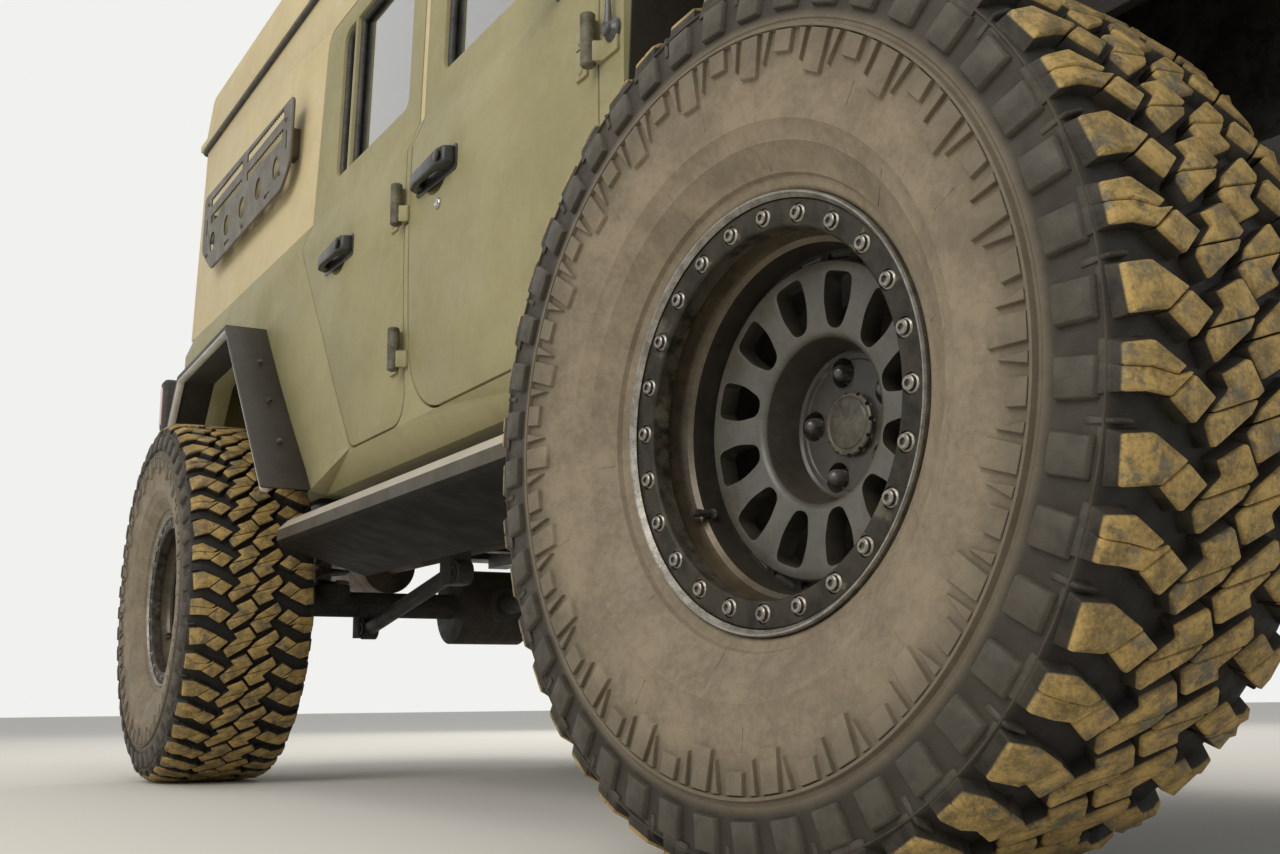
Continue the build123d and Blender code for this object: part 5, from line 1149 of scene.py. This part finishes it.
def mirror_set():
    """The right door mirror: a rounded shell on a folding arm, its glass facing rearwards."""
    arm = bar("arm", [(0.955, -0.760, 1.462), (0.952, -0.800, 1.466), (0.948, -0.845, 1.474),
                      (0.946, -0.878, 1.490), (0.946, -0.892, 1.520)], 0.017, steps=20)
    foot = prism("foot", rounded_box(-0.045, 0.045, -0.020, 0.020, 0.016), 0, 0.014)
    stand(foot, (0.955, -0.772, 1.452), pi / 2)
    soften(foot, 0.004, segments=3)
    shell = cuboid((mirror_x, mirror_y, mirror_z), (0.074, 0.156, 0.202))
    bpy.ops.object.mode_set(mode="EDIT")
    bpy.ops.mesh.subdivide(number_cuts=2)
    bpy.ops.object.mode_set(mode="OBJECT")
    for v in shell.data.vertices:
        if v.co.x > 0.955:
            v.co.y = mirror_y + (v.co.y - mirror_y) * 0.74
            v.co.z = mirror_z + (v.co.z - mirror_z) * 0.76
    smooth = shell.modifiers.new("smooth", "SUBSURF")
    smooth.levels = smooth.render_levels = 3
    apply_all(shell)
    soften(shell, 0, smooth=60)
    rim = closed_bar("rim", [(0.9145, mirror_y + dy, mirror_z + dz) for dy,
                             dz in rounded_box(-0.064, 0.064, -0.088, 0.088, 0.03)], 0.0055)
    glass = prism("glass", rounded_box(-0.060, 0.060, -0.084, 0.084, 0.028), 0, 0.003)
    glass.data.transform(Matrix.Translation((0.9148, mirror_y, mirror_z)) @ Matrix.Rotation(-pi / 2, 4, "Y")
                         @ Matrix.Rotation(pi / 2, 4, "Z"))
    return [arm, foot, shell, rim], soften(glass, 0.0005, segments=1)


mirror_glass, tree, shader = new_material("mirror_silver")
place = put(tree, "TexCoord").outputs["Object"]
silvered = use(tree, mottle, Place=place, Light=(0.80, 0.81, 0.82, 1), Dark=(0.70, 0.71, 0.72, 1), Size=6.0)
fill(tree, shader, Base_Color=silvered.outputs[0], Metallic=1.0,
     Roughness=ramp_between(tree, noise(tree, place, 9.0), 0.45, 0.7, 0.02, 0.12))

for end, hinge_x, handle_x in (("front", front_hinge_x, 0.385), ("rear", rear_hinge_x, -0.255)):
    upper, leaves, lower, feet = [], [], [], []
    for z in hinge_heights:
        door_half, body_half = hinge_parts(hinge_x, z)
        upper += door_half[:1]
        leaves += door_half[1:]
        lower += body_half[:1]
        feet += body_half[1:]
    upper, leaves, lower, feet = (join(name, made) for name, made in (
        ("upper", upper), ("leaves", leaves), ("lower", lower), ("feet", feet)))
    handle = join("handle", pull_handle(handle_x))
    trims = []
    for window in windows[end]:
        loop = rounded([(x, z) for x, z, r in window], [r for x, z, r in window], steps=5, share=0.45)
        loop = [Vector(point) for point in loop]
        middle = sum(loop, Vector((0, 0))) / len(loop)
        loop = [middle + (p - middle) * (1 - 0.005 / (p - middle).length) for p in loop]
        trims.append(closed_bar("channel", [(p.x, -skin(p.y) + 0.0165, p.y) for p in loop], 0.0085))
    trims = join("trims", trims)
    if end == "front":
        lock = lathe("lock", [(0.0, 0.0), (0.0125, 0.0), (0.0125, 0.003), (0.010, 0.0055), (0.0085, 0.0055),
                              (0.0080, 0.0040), (0.0, 0.0040)], steps=32)
        slot_cut = prism("slot_cut", [(-0.0011, -0.0048), (0.0011, -0.0048), (0.0011, 0.0048),
                                      (-0.0011, 0.0048)], 0.002, 0.01)
        cut(lock, slot_cut)
        stand(lock, (0.398, -skin(1.219) + 0.001, 1.219), pi / 2)
        soften(lock, 0.0003, segments=1)
        mirror_body, mirror_face = mirror_set()
        mirror_body = join("mirror_body", mirror_body)
    for hand, flip in (("right", None), ("left", (1, -1, 1))):
        door_body = end + "_" + hand + "_door"
        node = "door_" + end + "_" + hand
        door = rounded_copy(node, "door_skin_" + end + "_" + hand, 0.0042, door_body, olive,
                            keep=bare_skin)
        side = -1 if hand == "right" else 1
        bpy.ops.mesh.primitive_uv_sphere_add(segments=40, ring_count=24, radius=1)
        bowl = bpy.context.object
        bowl.scale = (0.060, 0.036, 0.040)
        bowl.location = (handle_x - 0.002, side * (skin(1.28) + 0.012), 1.283)
        bpy.ops.object.transform_apply(location=True, rotation=True, scale=True)
        cut(door, bowl)
        pieces = [(upper, "hinge_barrels_", "olive_coat", olive_dark),
                  (leaves, "hinge_leaves_", "olive_coat", olive),
                  (handle, "pull_handle_", "moulded_black", handle_black),
                  (trims, "window_channel_", "moulded_black", rubber_trim)]
        if end == "front":
            pieces += [(lock, "lock_barrel_", "link_steel", bright),
                       (mirror_body, "mirror_shell_", "moulded_black", moulded),
                       (mirror_face, "mirror_face_", "moulded_black", mirror_glass)]
        for master, label, record_slot, finish in pieces:
            place_on(turned_copy(master, label + end + "_" + hand, flip=flip), door_body, record_slot, finish)
        place_on(turned_copy(lower, "hinge_posts_" + end + "_" + hand, flip=flip), "chassis", "olive_coat",
                 olive_dark)
        place_on(turned_copy(feet, "hinge_feet_" + end + "_" + hand, flip=flip), "chassis", "olive_coat",
                 olive)
    masters = [upper, leaves, lower, feet, handle, trims]
    if end == "front":
        masters += [lock, mirror_body, mirror_face]
    for master in masters:
        bpy.data.objects.remove(master)

# Hard top, lifting cap and windscreen
# Moulded tan shell with smooth rolled edges. A dark seal shows between it and the cap. Slotted steel panels
# with serrated strips, round holes and clamp knobs hang on its quarters.
rounded_copy("hardtop", "hardtop_shell", 0.006, "chassis", tan, segments=3)
rounded_copy("pop_roof", "roof_cap_shell", 0.007, "roof_cap", tan, segments=3)
rounded_copy("windscreen_frame", "screen_frame", 0.005, "chassis", olive, segments=2)
cap_front, cap_rear, cap_side, cap_base = 0.396, -2.052, 0.748, 2.2004
seal_line = rounded_box(cap_rear + 0.014, cap_front - 0.030, -cap_side, cap_side, 0.03)
seal = closed_bar("cap_seal", [(x, y, cap_base - 0.0095) for x, y in seal_line], 0.0085)
place_on(seal, "roof_cap", "moulded_black", rubber_trim)

rack_coat = coating("rack_coating", (0.105, 0.085, 0.048), (0.062, 0.050, 0.029), size=8, rough=(0.34, 0.5),
                    grain_size=420, relief=0.4, dusty=0.10, rub=0.05, worn=(0.20, 0.19, 0.165, 1))
rack_y = -0.7950
rack_outline = [(-0.710, 1.890), (-0.730, 1.700), (-0.810, 1.650), (-1.630, 1.640), (-1.760, 1.730),
                (-1.740, 1.915)]
panel = prism("panel", rounded(rack_outline, 0.022), 0.0, 0.0046)
slot_front, slot_step, slot_length, slot_half, tooth_pitch = -0.795, 0.455, 0.40, 0.0145, 0.02
for k in range(2):
    for height in (1.872, 1.812):
        front = slot_front - slot_step * k
        rear = front - slot_length
        teeth = [(front, height - slot_half), (rear, height - slot_half)]
        for j in range(20):
            tooth = rear + tooth_pitch * j
            teeth += [(tooth + 0.002, height + slot_half), (tooth + 0.0165, height + slot_half),
                      (tooth + 0.0175, height + 0.0085)]
        cut(panel, prism("slot", teeth, -0.01, 0.02))
for k in range(5):
    middle = Vector((-0.865 - 0.188 * k, 1.728))
    cut(panel, prism("hole", [Vector(polar(0.034, 15 * turn)) + middle for turn in range(24)], -0.01, 0.02))
for k, (x, z) in enumerate(((-0.765, 1.78), (-0.955, 1.675), (-1.42, 1.668), (-1.70, 1.80))):
    wide, high = (0.006, 0.028) if k in (0, 3) else (0.028, 0.006)
    cut(panel, prism("slit", rounded_box(x - wide, x + wide, z - high, z + high, 0.0055), -0.01, 0.02))
stand(panel, (0, rack_y, 0), pi / 2)
rack_parts = [soften(panel, 0.0011, segments=1)]
edge = rounded(rack_outline, 0.022)
rack_parts.append(closed_bar("edge", [(x, rack_y - 0.0002, z) for x, z in edge], 0.0045))
for x, z in ((-0.775, 1.845), (-0.83, 1.700), (-1.69, 1.700), (-1.685, 1.878), (-1.23, 1.665)):
    knob = lathe("knob", [(0.0, 0.0), (0.010, 0.0), (0.010, 0.0006), (0.0068, 0.0012), (0.0066, 0.0042),
                          (0.0030, 0.0046), (0.0026, 0.0026), (0.0, 0.0026)], steps=12)
    stand(knob, (x, rack_y - 0.0044, z), pi / 2)
    rack_parts.append(soften(knob, 0.0003, segments=1))
for x in (-0.800, -1.650):
    foot = prism("foot", rounded_box(x - 0.025, x + 0.025, 1.735, 1.825, 0.006), 0, 0.0455)
    stand(foot, (0, -0.750, 0), pi / 2)
    rack_parts.append(soften(foot, 0.002))
rack_half = join("rack_half", rack_parts)
other_rack = turned_copy(rack_half, "rack_left", flip=(1, -1, 1))
place_on(join("slotted_panels", [rack_half, other_rack]), "chassis", "rack_coat", rack_coat, "side_racks")

# Fixed windows' rubber channels, and the two wipers with their arms
lean = Vector((0.801 - 1.106, 0, 2.010 - 1.475)).normalized()
screen_foot = Vector((1.106, 0, 1.475))


def on_screen(y, up, out=0.0):
    """A point on the windscreen's outer plane: across, up the slope, and proud of it."""
    return screen_foot + Vector((0, y, 0)) + lean * up + Vector((-lean.z, 0, lean.x)) * -out


sill, head = (1.545 - 1.475) / lean.z, (1.958 - 1.475) / lean.z
front_line = rounded_box(-0.648, 0.648, sill + 0.003, head - 0.003, 0.030)
rear_line = rounded_box(-0.598, 0.598, 1.503, 2.107, 0.030)
channel = closed_bar("channel", [on_screen(y, up, -0.012) for y, up in front_line], 0.0095)
rear_channel = closed_bar("rear_channel", [(-1.9935, y, z) for y, z in rear_line], 0.0060)
place_on(join("glass_channels", [channel, rear_channel]), "chassis", "moulded_black", rubber_trim)
wiper_parts = []
for y0 in (-0.10, 0.40):
    pivot = on_screen(y0, 0.025, 0.004)
    tip = on_screen(y0 + 0.03, 0.185, -0.004)
    boss = lathe("boss", [(0.0, -0.012), (0.012, -0.012), (0.012, 0.002), (0.008, 0.006), (0.0, 0.007)],
                 steps=20)
    sink = on_screen(0, 0, 0.008) - on_screen(0, 0, 0)
    facing = Vector((0, 0, 1)).rotation_difference(Vector((-lean.z, 0, lean.x)) * -1).to_matrix().to_4x4()
    boss.data.transform(Matrix.Translation(pivot - sink) @ facing)
    wiper_parts += [boss, bar("arm", [pivot, pivot * 0.6 + tip * 0.4 + Vector((0.002, 0, 0)), tip], 0.0045,
                              steps=10)]
    wiper_parts.append(bar("blade", [on_screen(y0 - 0.18, 0.165, -0.012), on_screen(y0, 0.185, -0.010),
                                     on_screen(y0 + 0.20, 0.175, -0.012)], 0.0042, steps=10))
place_on(join("wipers", wiper_parts), "chassis", "moulded_black", handle_black)

# Hood, grille and front bumper
# The hood lies on the fenders, held by a rubber latch on each side. The grille is a flat panel over a finned
# radiator. The bumper is folded plate with two recovery eyes.
rounded_copy("hood", "hood_skin", 0.006, "hood", olive, segments=3)
rounded_copy("grille", "grille_panel", 0.004, "chassis", olive)
rounded_copy("front_bumper", "front_bumper_shell", 0.006, "chassis", chassis_black,
             segments=3)


def across(made, x):
    """Stands a flat piece, drawn as (y, z), upright across the vehicle at x."""
    upright = Matrix.Rotation(pi / 2, 4, "Z") @ Matrix.Rotation(pi / 2, 4, "X")
    made.data.transform(Matrix.Translation((x, 0, 0)) @ upright)


latch_parts, catch_parts = [], []
for side in (-1, 1):
    root = Vector((2.080, side * 0.6175, 1.330))
    catch = prism("catch", rounded_box(-0.022, 0.022, -0.016, 0.016, 0.006), 0.0004, 0.008)
    stand(catch, root + Vector((0, side * 0.018, 0)))
    post = lathe("post", [(0.0, 0.0), (0.0045, 0.0), (0.0045, 0.016), (0.009, 0.018), (0.009, 0.022),
                          (0.0, 0.022)], steps=20)
    stand(post, root + Vector((0, side * 0.018, 0.0078)))
    catch_parts += [soften(catch, 0.0015), soften(post, 0)]
    plate = prism("plate", rounded_box(-0.020, 0.020, 1.366, 1.402, 0.005), 0, 0.006)
    stand(plate, (2.080, side * 0.6165 + (0.006 if side > 0 else 0), 0), pi / 2)
    strap = bar("strap", [root + Vector((0, side * 0.010, 0.054)), root + Vector((0, side * 0.017, 0.042)),
                          root + Vector((0, side * 0.0185, 0.0335))], 0.0065, steps=14)
    grip = lathe("grip", [(0.0, -0.016), (0.006, -0.016), (0.0075, -0.012), (0.0065, 0.0), (0.0075, 0.012),
                          (0.006, 0.016), (0.0, 0.016)], steps=16)
    stand(grip, root + Vector((0, side * 0.0195, 0.043)), pi / 2, "Y")
    latch_parts += [soften(plate, 0.0012), strap, soften(grip, 0)]
place_on(join("hood_latches", latch_parts), "hood", "moulded_black", rubber_trim)
place_on(join("latch_catches", catch_parts), "chassis", "link_steel", plated)
washers = []
for y in (-0.22, 0.22):
    nozzle = lathe("nozzle", [(0.0, -0.002), (0.011, -0.002), (0.0105, 0.003), (0.007, 0.006), (0.0, 0.007)],
                   steps=20)
    stand(nozzle, (1.300, y, 1.4640))
    washers.append(soften(nozzle, 0))
place_on(join("washer_jets", washers), "hood", "moulded_black", moulded)

core = prism("core", rounded_box(-0.400, 0.400, 1.010, 1.345, 0.012), 0, 0.018)
fin_count, fin_gap = 96, 0.008
fin = cuboid((0, 0, 0), (0.016, 0.0016, 0.325))
row = fin.modifiers.new("row", "ARRAY")
row.count = fin_count
row.use_relative_offset = False
row.use_constant_offset = True
row.constant_offset_displace = (0, fin_gap, 0)
apply_all(fin)
stand(fin, (2.262, -0.380, 1.1775))
across(core, 2.235)
place_on(join("radiator", [soften(core, 0.003), fin]), "chassis", "engine_alloy", engine_alloy_painted_shade)
front_bolts = []
for side in (-1, 1):
    for y, z in ((0.560, 1.375), (0.560, 0.960), (0.320, 0.960), (0.0, 0.960)):
        if y == 0.0 and side > 0:
            continue
        bolt = lathe("bolt", [(0.0, -0.002), (0.011, -0.002), (0.011, 0.003), (0.008, 0.0055), (0.0, 0.006)],
                     steps=6)
        stand(bolt, (2.3146, side * y, z), pi / 2, "Y")
        front_bolts.append(soften(bolt, 0.0006, segments=1))
for side in (-1, 1):
    for z in (0.715, 0.830):
        for y in (0.14, 0.26):
            bolt = lathe("bolt", [(0.0, -0.002), (0.010, -0.002), (0.010, 0.0015), (0.008, 0.004),
                                  (0.0, 0.0045)], steps=6)
            stand(bolt, (2.3600, side * y, z), pi / 2, "Y")
            front_bolts.append(soften(bolt, 0.0006, segments=1))
place_on(join("front_bolts", front_bolts), "chassis", "link_steel", plated)

# Lamps
# Round headlamps: a bright bowl with a projector and a clear domed lens in a black ring. The tail lamps are
# black boxes with a red lens that wraps round the corner.
clear, tree, shader = new_material("lamp_clear")
place = put(tree, "TexCoord").outputs["Object"]
film = use(tree, dust, Place=place, Color=(0.95, 0.96, 0.96, 1), Dust=(0.5, 0.45, 0.36, 1), Amount=0.06,
           Reach=2.0)
fill(tree, shader, Base_Color=film.outputs["Color"], Transmission_Weight=1.0, IOR=1.45,
     Roughness=ramp_between(tree, noise(tree, place, 9.0), 0.45, 0.7, 0.02, 0.07))
reflector = coating("lamp_bright", (0.72, 0.73, 0.74), (0.55, 0.56, 0.58), size=30, rough=(0.08, 0.16),
                    metal=1.0, relief=0.04, dusty=0.04, rub=0.05)
red_lens, tree, shader = new_material("lamp_red")
place = put(tree, "TexCoord").outputs["Object"]
rows = put(tree, "TexWave", wave_type="BANDS", bands_direction="Z", Vector=place, Scale=42.0, Distortion=0.0,
           Detail=0.0)
ribbed = blend_colours(tree, (0.36, 0.012, 0.008, 1), (0.62, 0.03, 0.018, 1), rows.outputs["Fac"])
film = use(tree, dust, Place=place, Color=ribbed, Dust=(0.4, 0.33, 0.24, 1), Amount=0.10, Reach=2.0)
fill(tree, shader, Base_Color=film.outputs["Color"], Transmission_Weight=0.25, Coat_Weight=0.6,
     Roughness=ramp_between(tree, noise(tree, place, 9.0), 0.45, 0.7, 0.08, 0.2))
rings, bowls, lenses, housings, reds = [], [], [], [], []
for side in (-1, 1):
    ring = lathe("ring", [(0.0872, 0.0), (0.0872, 0.036), (0.0845, 0.0405), (0.079, 0.0405), (0.0765, 0.036),
                          (0.0765, 0.0)], steps=72)
    bowl = lathe("bowl", [(0.0764, 0.030), (0.0764, 0.001), (0.0, 0.001), (0.0, 0.006), (0.030, 0.006),
                          (0.034, 0.010), (0.062, 0.016), (0.0725, 0.030)], steps=72)
    eye = lathe("eye", [(0.0, 0.006), (0.026, 0.006), (0.027, 0.012), (0.022, 0.022), (0.011, 0.0275),
                        (0.0, 0.029)], steps=48)
    lens = lathe("lens", [(0.0, 0.0395), (0.045, 0.037), (0.0762, 0.0315), (0.0762, 0.0285), (0.045, 0.034),
                          (0.0, 0.0365)], steps=72)
    for made, width in ((ring, 0.0008), (bowl, 0), (eye, 0), (lens, 0)):
        stand(made, (2.284, side * 0.440, 1.245), pi / 2, "Y")
        soften(made, width, segments=1, smooth=35)
    rings.append(ring)
    bowls += [bowl, eye]
    lenses.append(lens)
    case = cuboid((-1.985, side * 0.776, 1.232), (0.068, 0.170, 0.182))
    housings.append(soften(case, 0.014, segments=4, smooth=50))
    red = prism("red", rounded([(-2.0200, 0.716), (-2.0200, 0.8610), (-1.975, 0.8625), (-1.975, 0.8560),
                                (-2.012, 0.8540), (-2.012, 0.716)], 0.0030), 1.166, 1.298)
    if side < 0:
        red.data.transform(Matrix.Scale(-1, 4, (0, 1, 0)))
        red.data.flip_normals()
    reds.append(soften(red, 0.0015))
    for z in (1.192, 1.232, 1.272):
        halo = lathe("halo", [(0.013, 0.0), (0.016, 0.0), (0.016, 0.0012), (0.013, 0.0012)], steps=32)
        stand(halo, (-2.0188, side * 0.755, z), -pi / 2, "Y")
        reds.append(soften(halo, 0))
place_on(join("headlamp_rings", rings), "chassis", "moulded_black", moulded)
place_on(join("headlamp_bowls", bowls), "chassis", "lamp_lens", reflector)
place_on(join("tail_lamp_cases", housings), "chassis", "moulded_black", moulded)
place_on(join("tail_lamp_lenses", reds), "chassis", "lamp_lens", red_lens)
place_on(join("headlamp_lenses", lenses), "chassis", "lamp_lens", clear, "lamps")

# Radio mast on the right of the cowl: a swivel base, a coil and a thin black rod
mast_x, mast_z = 1.155, 1.272
mast_y = -skin(mast_z)
base = lathe("base", [(0.0, -0.001), (0.0215, -0.001), (0.0215, 0.004), (0.0185, 0.009), (0.0125, 0.013),
                      (0.0115, 0.020), (0.0, 0.022)], steps=40)
stand(base, (mast_x, mast_y, mast_z), pi / 2)
stem = lathe("stem", [(0.0, -0.014), (0.0075, -0.014), (0.0085, -0.004), (0.0065, 0.010), (0.0048, 0.040),
                      (0.0, 0.040)], steps=24)
stand(stem, (mast_x, mast_y - 0.012, mast_z + 0.010))
place_on(join("mast_base", [soften(base, 0.0006, segments=1), soften(stem, 0)]), "chassis", "link_steel",
         mast_grey)
mast = lathe("mast", [(0.0, 0.0), (0.0042, 0.0), (0.0042, 0.055), (0.0030, 0.060), (0.0018, 0.62),
                      (0.0026, 0.622), (0.0026, 0.632), (0.0, 0.634)], steps=16)
stand(mast, (mast_x, mast_y - 0.012, mast_z + 0.049))
place_on(soften(mast, 0), "chassis", "moulded_black", handle_black)

# Tailgate and rear bumper
# The gate is pressed with a shallow panel, a black grab handle and two hinges. The spare hangs on a round
# plate. The bumper is folded plate with a square receiver under its middle.
rounded_copy("tailgate", "tailgate_skin", 0.004, "tailgate", olive)
rounded_copy("rear_bumper", "rear_bumper_shell", 0.005, "chassis", chassis_black, segments=3)
press = prism("press", rounded_box(-0.520, 0.520, 0.960, 1.105, 0.04), 0, 0.0035)
across(press, -1.9655)
soften(press, 0.0028, segments=3)
place_on(press, "tailgate", "olive_coat", olive)
grab = bar("grab", [(-1.962, 0.545, 1.215), (-1.992, 0.545, 1.225), (-1.999, 0.545, 1.290),
                    (-1.992, 0.545, 1.355), (-1.962, 0.545, 1.365)], 0.0095, steps=18)
button = lathe("button", [(0.0, -0.001), (0.019, -0.001), (0.019, 0.006), (0.016, 0.009), (0.0, 0.009)],
               steps=32)
stand(button, (-1.962, 0.545, 1.165), -pi / 2, "Y")
place_on(join("gate_grab", [grab, soften(button, 0.0008, segments=1)]), "tailgate", "moulded_black",
         handle_black)
bolts = []
for y in (-0.66, -0.44, -0.24, 0.24, 0.44, 0.66):
    head = lathe("head", [(0.0, -0.002), (0.011, -0.002), (0.011, 0.003), (0.008, 0.006), (0.0, 0.0065)],
                 steps=6)
    stand(head, (-2.096, y, 0.808), -pi / 2, "Y")
    bolts.append(soften(head, 0.0007, segments=1))
collar = prism("collar", rounded_box(-0.040, 0.040, 0.675, 0.7448, 0.006), 0, 0.012)
cut(collar, prism("bore", [(-0.0257, 0.6873), (0.0257, 0.6873), (0.0257, 0.7387), (-0.0257, 0.7387)], -0.01,
                  0.03))
across(collar, -2.0960)
bolts.append(soften(collar, 0.0012, segments=1))
place_on(join("rear_bolts", bolts), "chassis", "link_steel", plated)

# Seats and dashboard
# Two front seats and a rear bench in black cloth over foam, on steel plinths, sewn in channels. The padding
# is blown up as cloth from a smaller rounded block.
seat_cloth, tree, shader = new_material("seat_cloth")
place = put(tree, "TexCoord").outputs["Object"]
threads = [put(tree, "TexWave", wave_type="BANDS", bands_direction=axis, Vector=place, Scale=260.0,
               Distortion=0.6, Detail=1.0).outputs["Fac"] for axis in "XYZ"]
weave = sums(tree, "MULTIPLY", sums(tree, "MAXIMUM", threads[0], threads[1]), threads[2])
faded = use(tree, mottle, Place=place, Light=(0.060, 0.058, 0.054, 1), Dark=(0.030, 0.029, 0.028, 1),
            Size=7.0)
film = use(tree, dust, Place=place, Color=faded.outputs[0], Dust=(0.30, 0.25, 0.18, 1), Amount=0.18,
           Reach=2.0)
fill(tree, shader, Base_Color=film.outputs["Color"], Sheen_Weight=0.3,
     Roughness=ramp_between(tree, weave, 0.0, 1.0, 0.92, 0.78),
     Normal=put(tree, "Bump", Strength=0.35, Distance=0.0006, Height=weave).outputs[0])


seat_floor = 0.795
cloth_frames = 16


def foam(name, size, cap, channels=(), swell=4.0):
    """A stuffed pad about its own centre: a rounded block, blown up as cloth by no more than cap, then sewn
    in channels, which are (axis, position) pairs on its upper face."""
    made = cuboid((0, 0, 0), [side - cap for side in size])
    made.name = made.data.name = name
    soften(made, min(size) * 0.28, segments=4)
    mesh_again = made.modifiers.new("mesh_again", "REMESH")
    mesh_again.mode = "VOXEL"
    mesh_again.voxel_size = 0.0115
    apply_all(made)
    start = [v.co.copy() for v in made.data.vertices]
    scene.frame_set(1)
    blown = made.modifiers.new("blown", "CLOTH")
    blown.settings.use_pressure = True
    blown.settings.uniform_pressure_force = swell
    blown.settings.effector_weights.gravity = 0
    blown.settings.quality = 4
    blown.settings.tension_stiffness = 12
    blown.point_cache.frame_start, blown.point_cache.frame_end = 1, cloth_frames
    for step in range(1, cloth_frames + 1):
        scene.frame_set(step)
    apply_all(made)
    scene.frame_set(1)
    for v, begun in zip(made.data.vertices, start):
        moved = v.co - begun
        if moved.length > cap:
            v.co = begun + moved.normalized() * cap
    finer = made.modifiers.new("finer", "SUBSURF")
    finer.levels = finer.render_levels = 1
    apply_all(made)
    half = size[2] / 2
    for v in made.data.vertices:
        if v.co.z > 0:
            dip = sum(0.011 * 2.718 ** -(((v.co[axis] - place) / 0.009) ** 2) for axis, place in channels)
            v.co.z -= dip * min(1.0, max(0.0, v.co.z / (0.6 * half)))
    bpy.ops.object.shade_smooth()
    return made


def set_pad(pad, name, place, lean):
    """One pad copied to its seat, leaned back about Y."""
    made = turned_copy(pad, name, place=place, turn=(0, radians(lean), 0))
    place_on(made, "chassis", "seat_cloth", seat_cloth)
    return made


cushion = foam("cushion", (0.44, 0.485, 0.175), 0.016, [(1, -0.150), (1, 0.150), (0, -0.13), (0, 0.0)])
backrest = foam("backrest", (0.530, 0.485, 0.130), 0.014, [(1, -0.150), (1, 0.150), (0, -0.12), (0, 0.04)])
headrest = foam("headrest", (0.150, 0.260, 0.105), 0.014, [])
bench = foam("bench", (0.42, 1.10, 0.165), 0.016, [(1, -0.18), (1, 0.18), (0, -0.1), (0, 0.05)])
bench_back = foam("bench_back", (0.480, 1.10, 0.115), 0.014, [(1, -0.18), (1, 0.18), (0, -0.1), (0, 0.06)])
plinths = []
for y, hand in ((-0.370, "right"), (0.370, "left")):
    set_pad(cushion, "seat_cushion_" + hand, (0.495, y, 1.025), -4)
    set_pad(backrest, "seat_back_" + hand, (0.275, y, 1.330), -101.5)
    set_pad(headrest, "seat_headrest_" + hand, (0.183, y, 1.670), -98)
    base = prism("base", rounded_box(0.250, 0.705, y - 0.215, y + 0.215, 0.03), seat_floor, 0.935)
    plinths.append(soften(base, 0.006))
    for dy in (-0.06, 0.06):
        plinths.append(bar("post", [(0.215, y + dy, 1.565), (0.190, y + dy, 1.660)], 0.006, steps=10))
    for dy in (-0.245, 0.245):
        disc = lathe("disc", [(0.0, -0.004), (0.036, -0.004), (0.036, 0.003), (0.030, 0.005), (0.0, 0.005)],
                     steps=32)
        stand(disc, (0.335, y + dy, 1.080), pi / 2)
        plinths.append(soften(disc, 0))
set_pad(bench, "bench_cushion", (-0.365, 0, 1.020), -4)
set_pad(bench_back, "bench_back_pad", (-0.565, 0, 1.320), -101)
for y in (-0.33, 0.33):
    set_pad(headrest, "bench_headrest_" + ("right" if y < 0 else "left"), (-0.605, y, 1.585), -97)
base = prism("base", rounded_box(-0.570, -0.200, -0.53, 0.53, 0.03), seat_floor, 0.935)
plinths.append(soften(base, 0.006))
place_on(join("seat_plinths", plinths), "chassis", "seat_cloth", moulded, "seats")
for pad in (cushion, backrest, headrest, bench, bench_back):
    bpy.data.objects.remove(pad)

# Dashboard: a moulded board with round vents, an instrument binnacle and a middle stack; a thick-rimmed wheel
screen_black = coating("screen_black", (0.014, 0.015, 0.017), (0.008, 0.008, 0.009), size=20,
                       rough=(0.06, 0.14), relief=0.03, dusty=0.08, rub=0.05)
rounded_copy("dashboard", "dashboard_board", 0.012, "chassis", moulded, segments=3)
dials = []
vent_z, vent_radius, blade_gap = 1.345, 0.030, 0.011
for y in (-0.56, -0.20, 0.20, 0.56):
    vent = lathe("vent", [(0.0, 0.002), (0.030, 0.002), (0.032, 0.010), (0.040, 0.012), (0.043, 0.008),
                          (0.043, -0.002), (0.0, -0.002)], steps=36)
    stand(vent, (0.900, y, vent_z), -pi / 2, "Y")
    dials.append(soften(vent, 0))
    for k in range(-2, 3):
        blade_span = 2 * (vent_radius ** 2 - (blade_gap * k) ** 2) ** 0.5
        blade = cuboid((0.8935, y, vent_z + blade_gap * k), (0.006, blade_span, 0.0022))
        dials.append(soften(blade, 0.0006, segments=1))
stack = prism("stack", rounded_box(-0.125, 0.125, 1.190, 1.425, 0.016), 0, 0.016)
across(stack, 0.886)
dials.append(soften(stack, 0.004, segments=3))
for y in (-0.075, 0.0, 0.075):
    knob = lathe("knob", [(0.0, 0.0), (0.020, 0.0), (0.019, 0.014), (0.016, 0.018), (0.0, 0.018)], steps=28)
    stand(knob, (0.887, y, 1.232), -pi / 2, "Y")
    dials.append(soften(knob, 0))
binnacle_line = [(0.235, 1.400), (0.505, 1.400), (0.490, 1.452), (0.250, 1.452)]
hood_arc = prism("binnacle", rounded(binnacle_line, 0.014), 0, 0.075)
across(hood_arc, 0.850)
dials.append(soften(hood_arc, 0.008, segments=3))
bar_grab = bar("bar_grab", [(0.905, -0.52, 1.262), (0.868, -0.51, 1.262), (0.862, -0.37, 1.262),
                            (0.868, -0.23, 1.262), (0.905, -0.22, 1.262)], 0.011, steps=16)
dials.append(bar_grab)
place_on(join("dashboard_trim", dials), "chassis", "moulded_black", handle_black)
screen_face = prism("screen_face", rounded_box(-0.100, 0.100, 1.285, 1.405, 0.008), 0, 0.002)
across(screen_face, 0.8846)
place_on(soften(screen_face, 0.0006, segments=1), "chassis", "moulded_black", screen_black)
rounded_copy("steering_wheel", "steering_wheel_rim", 0.003, "steering_wheel", handle_black)
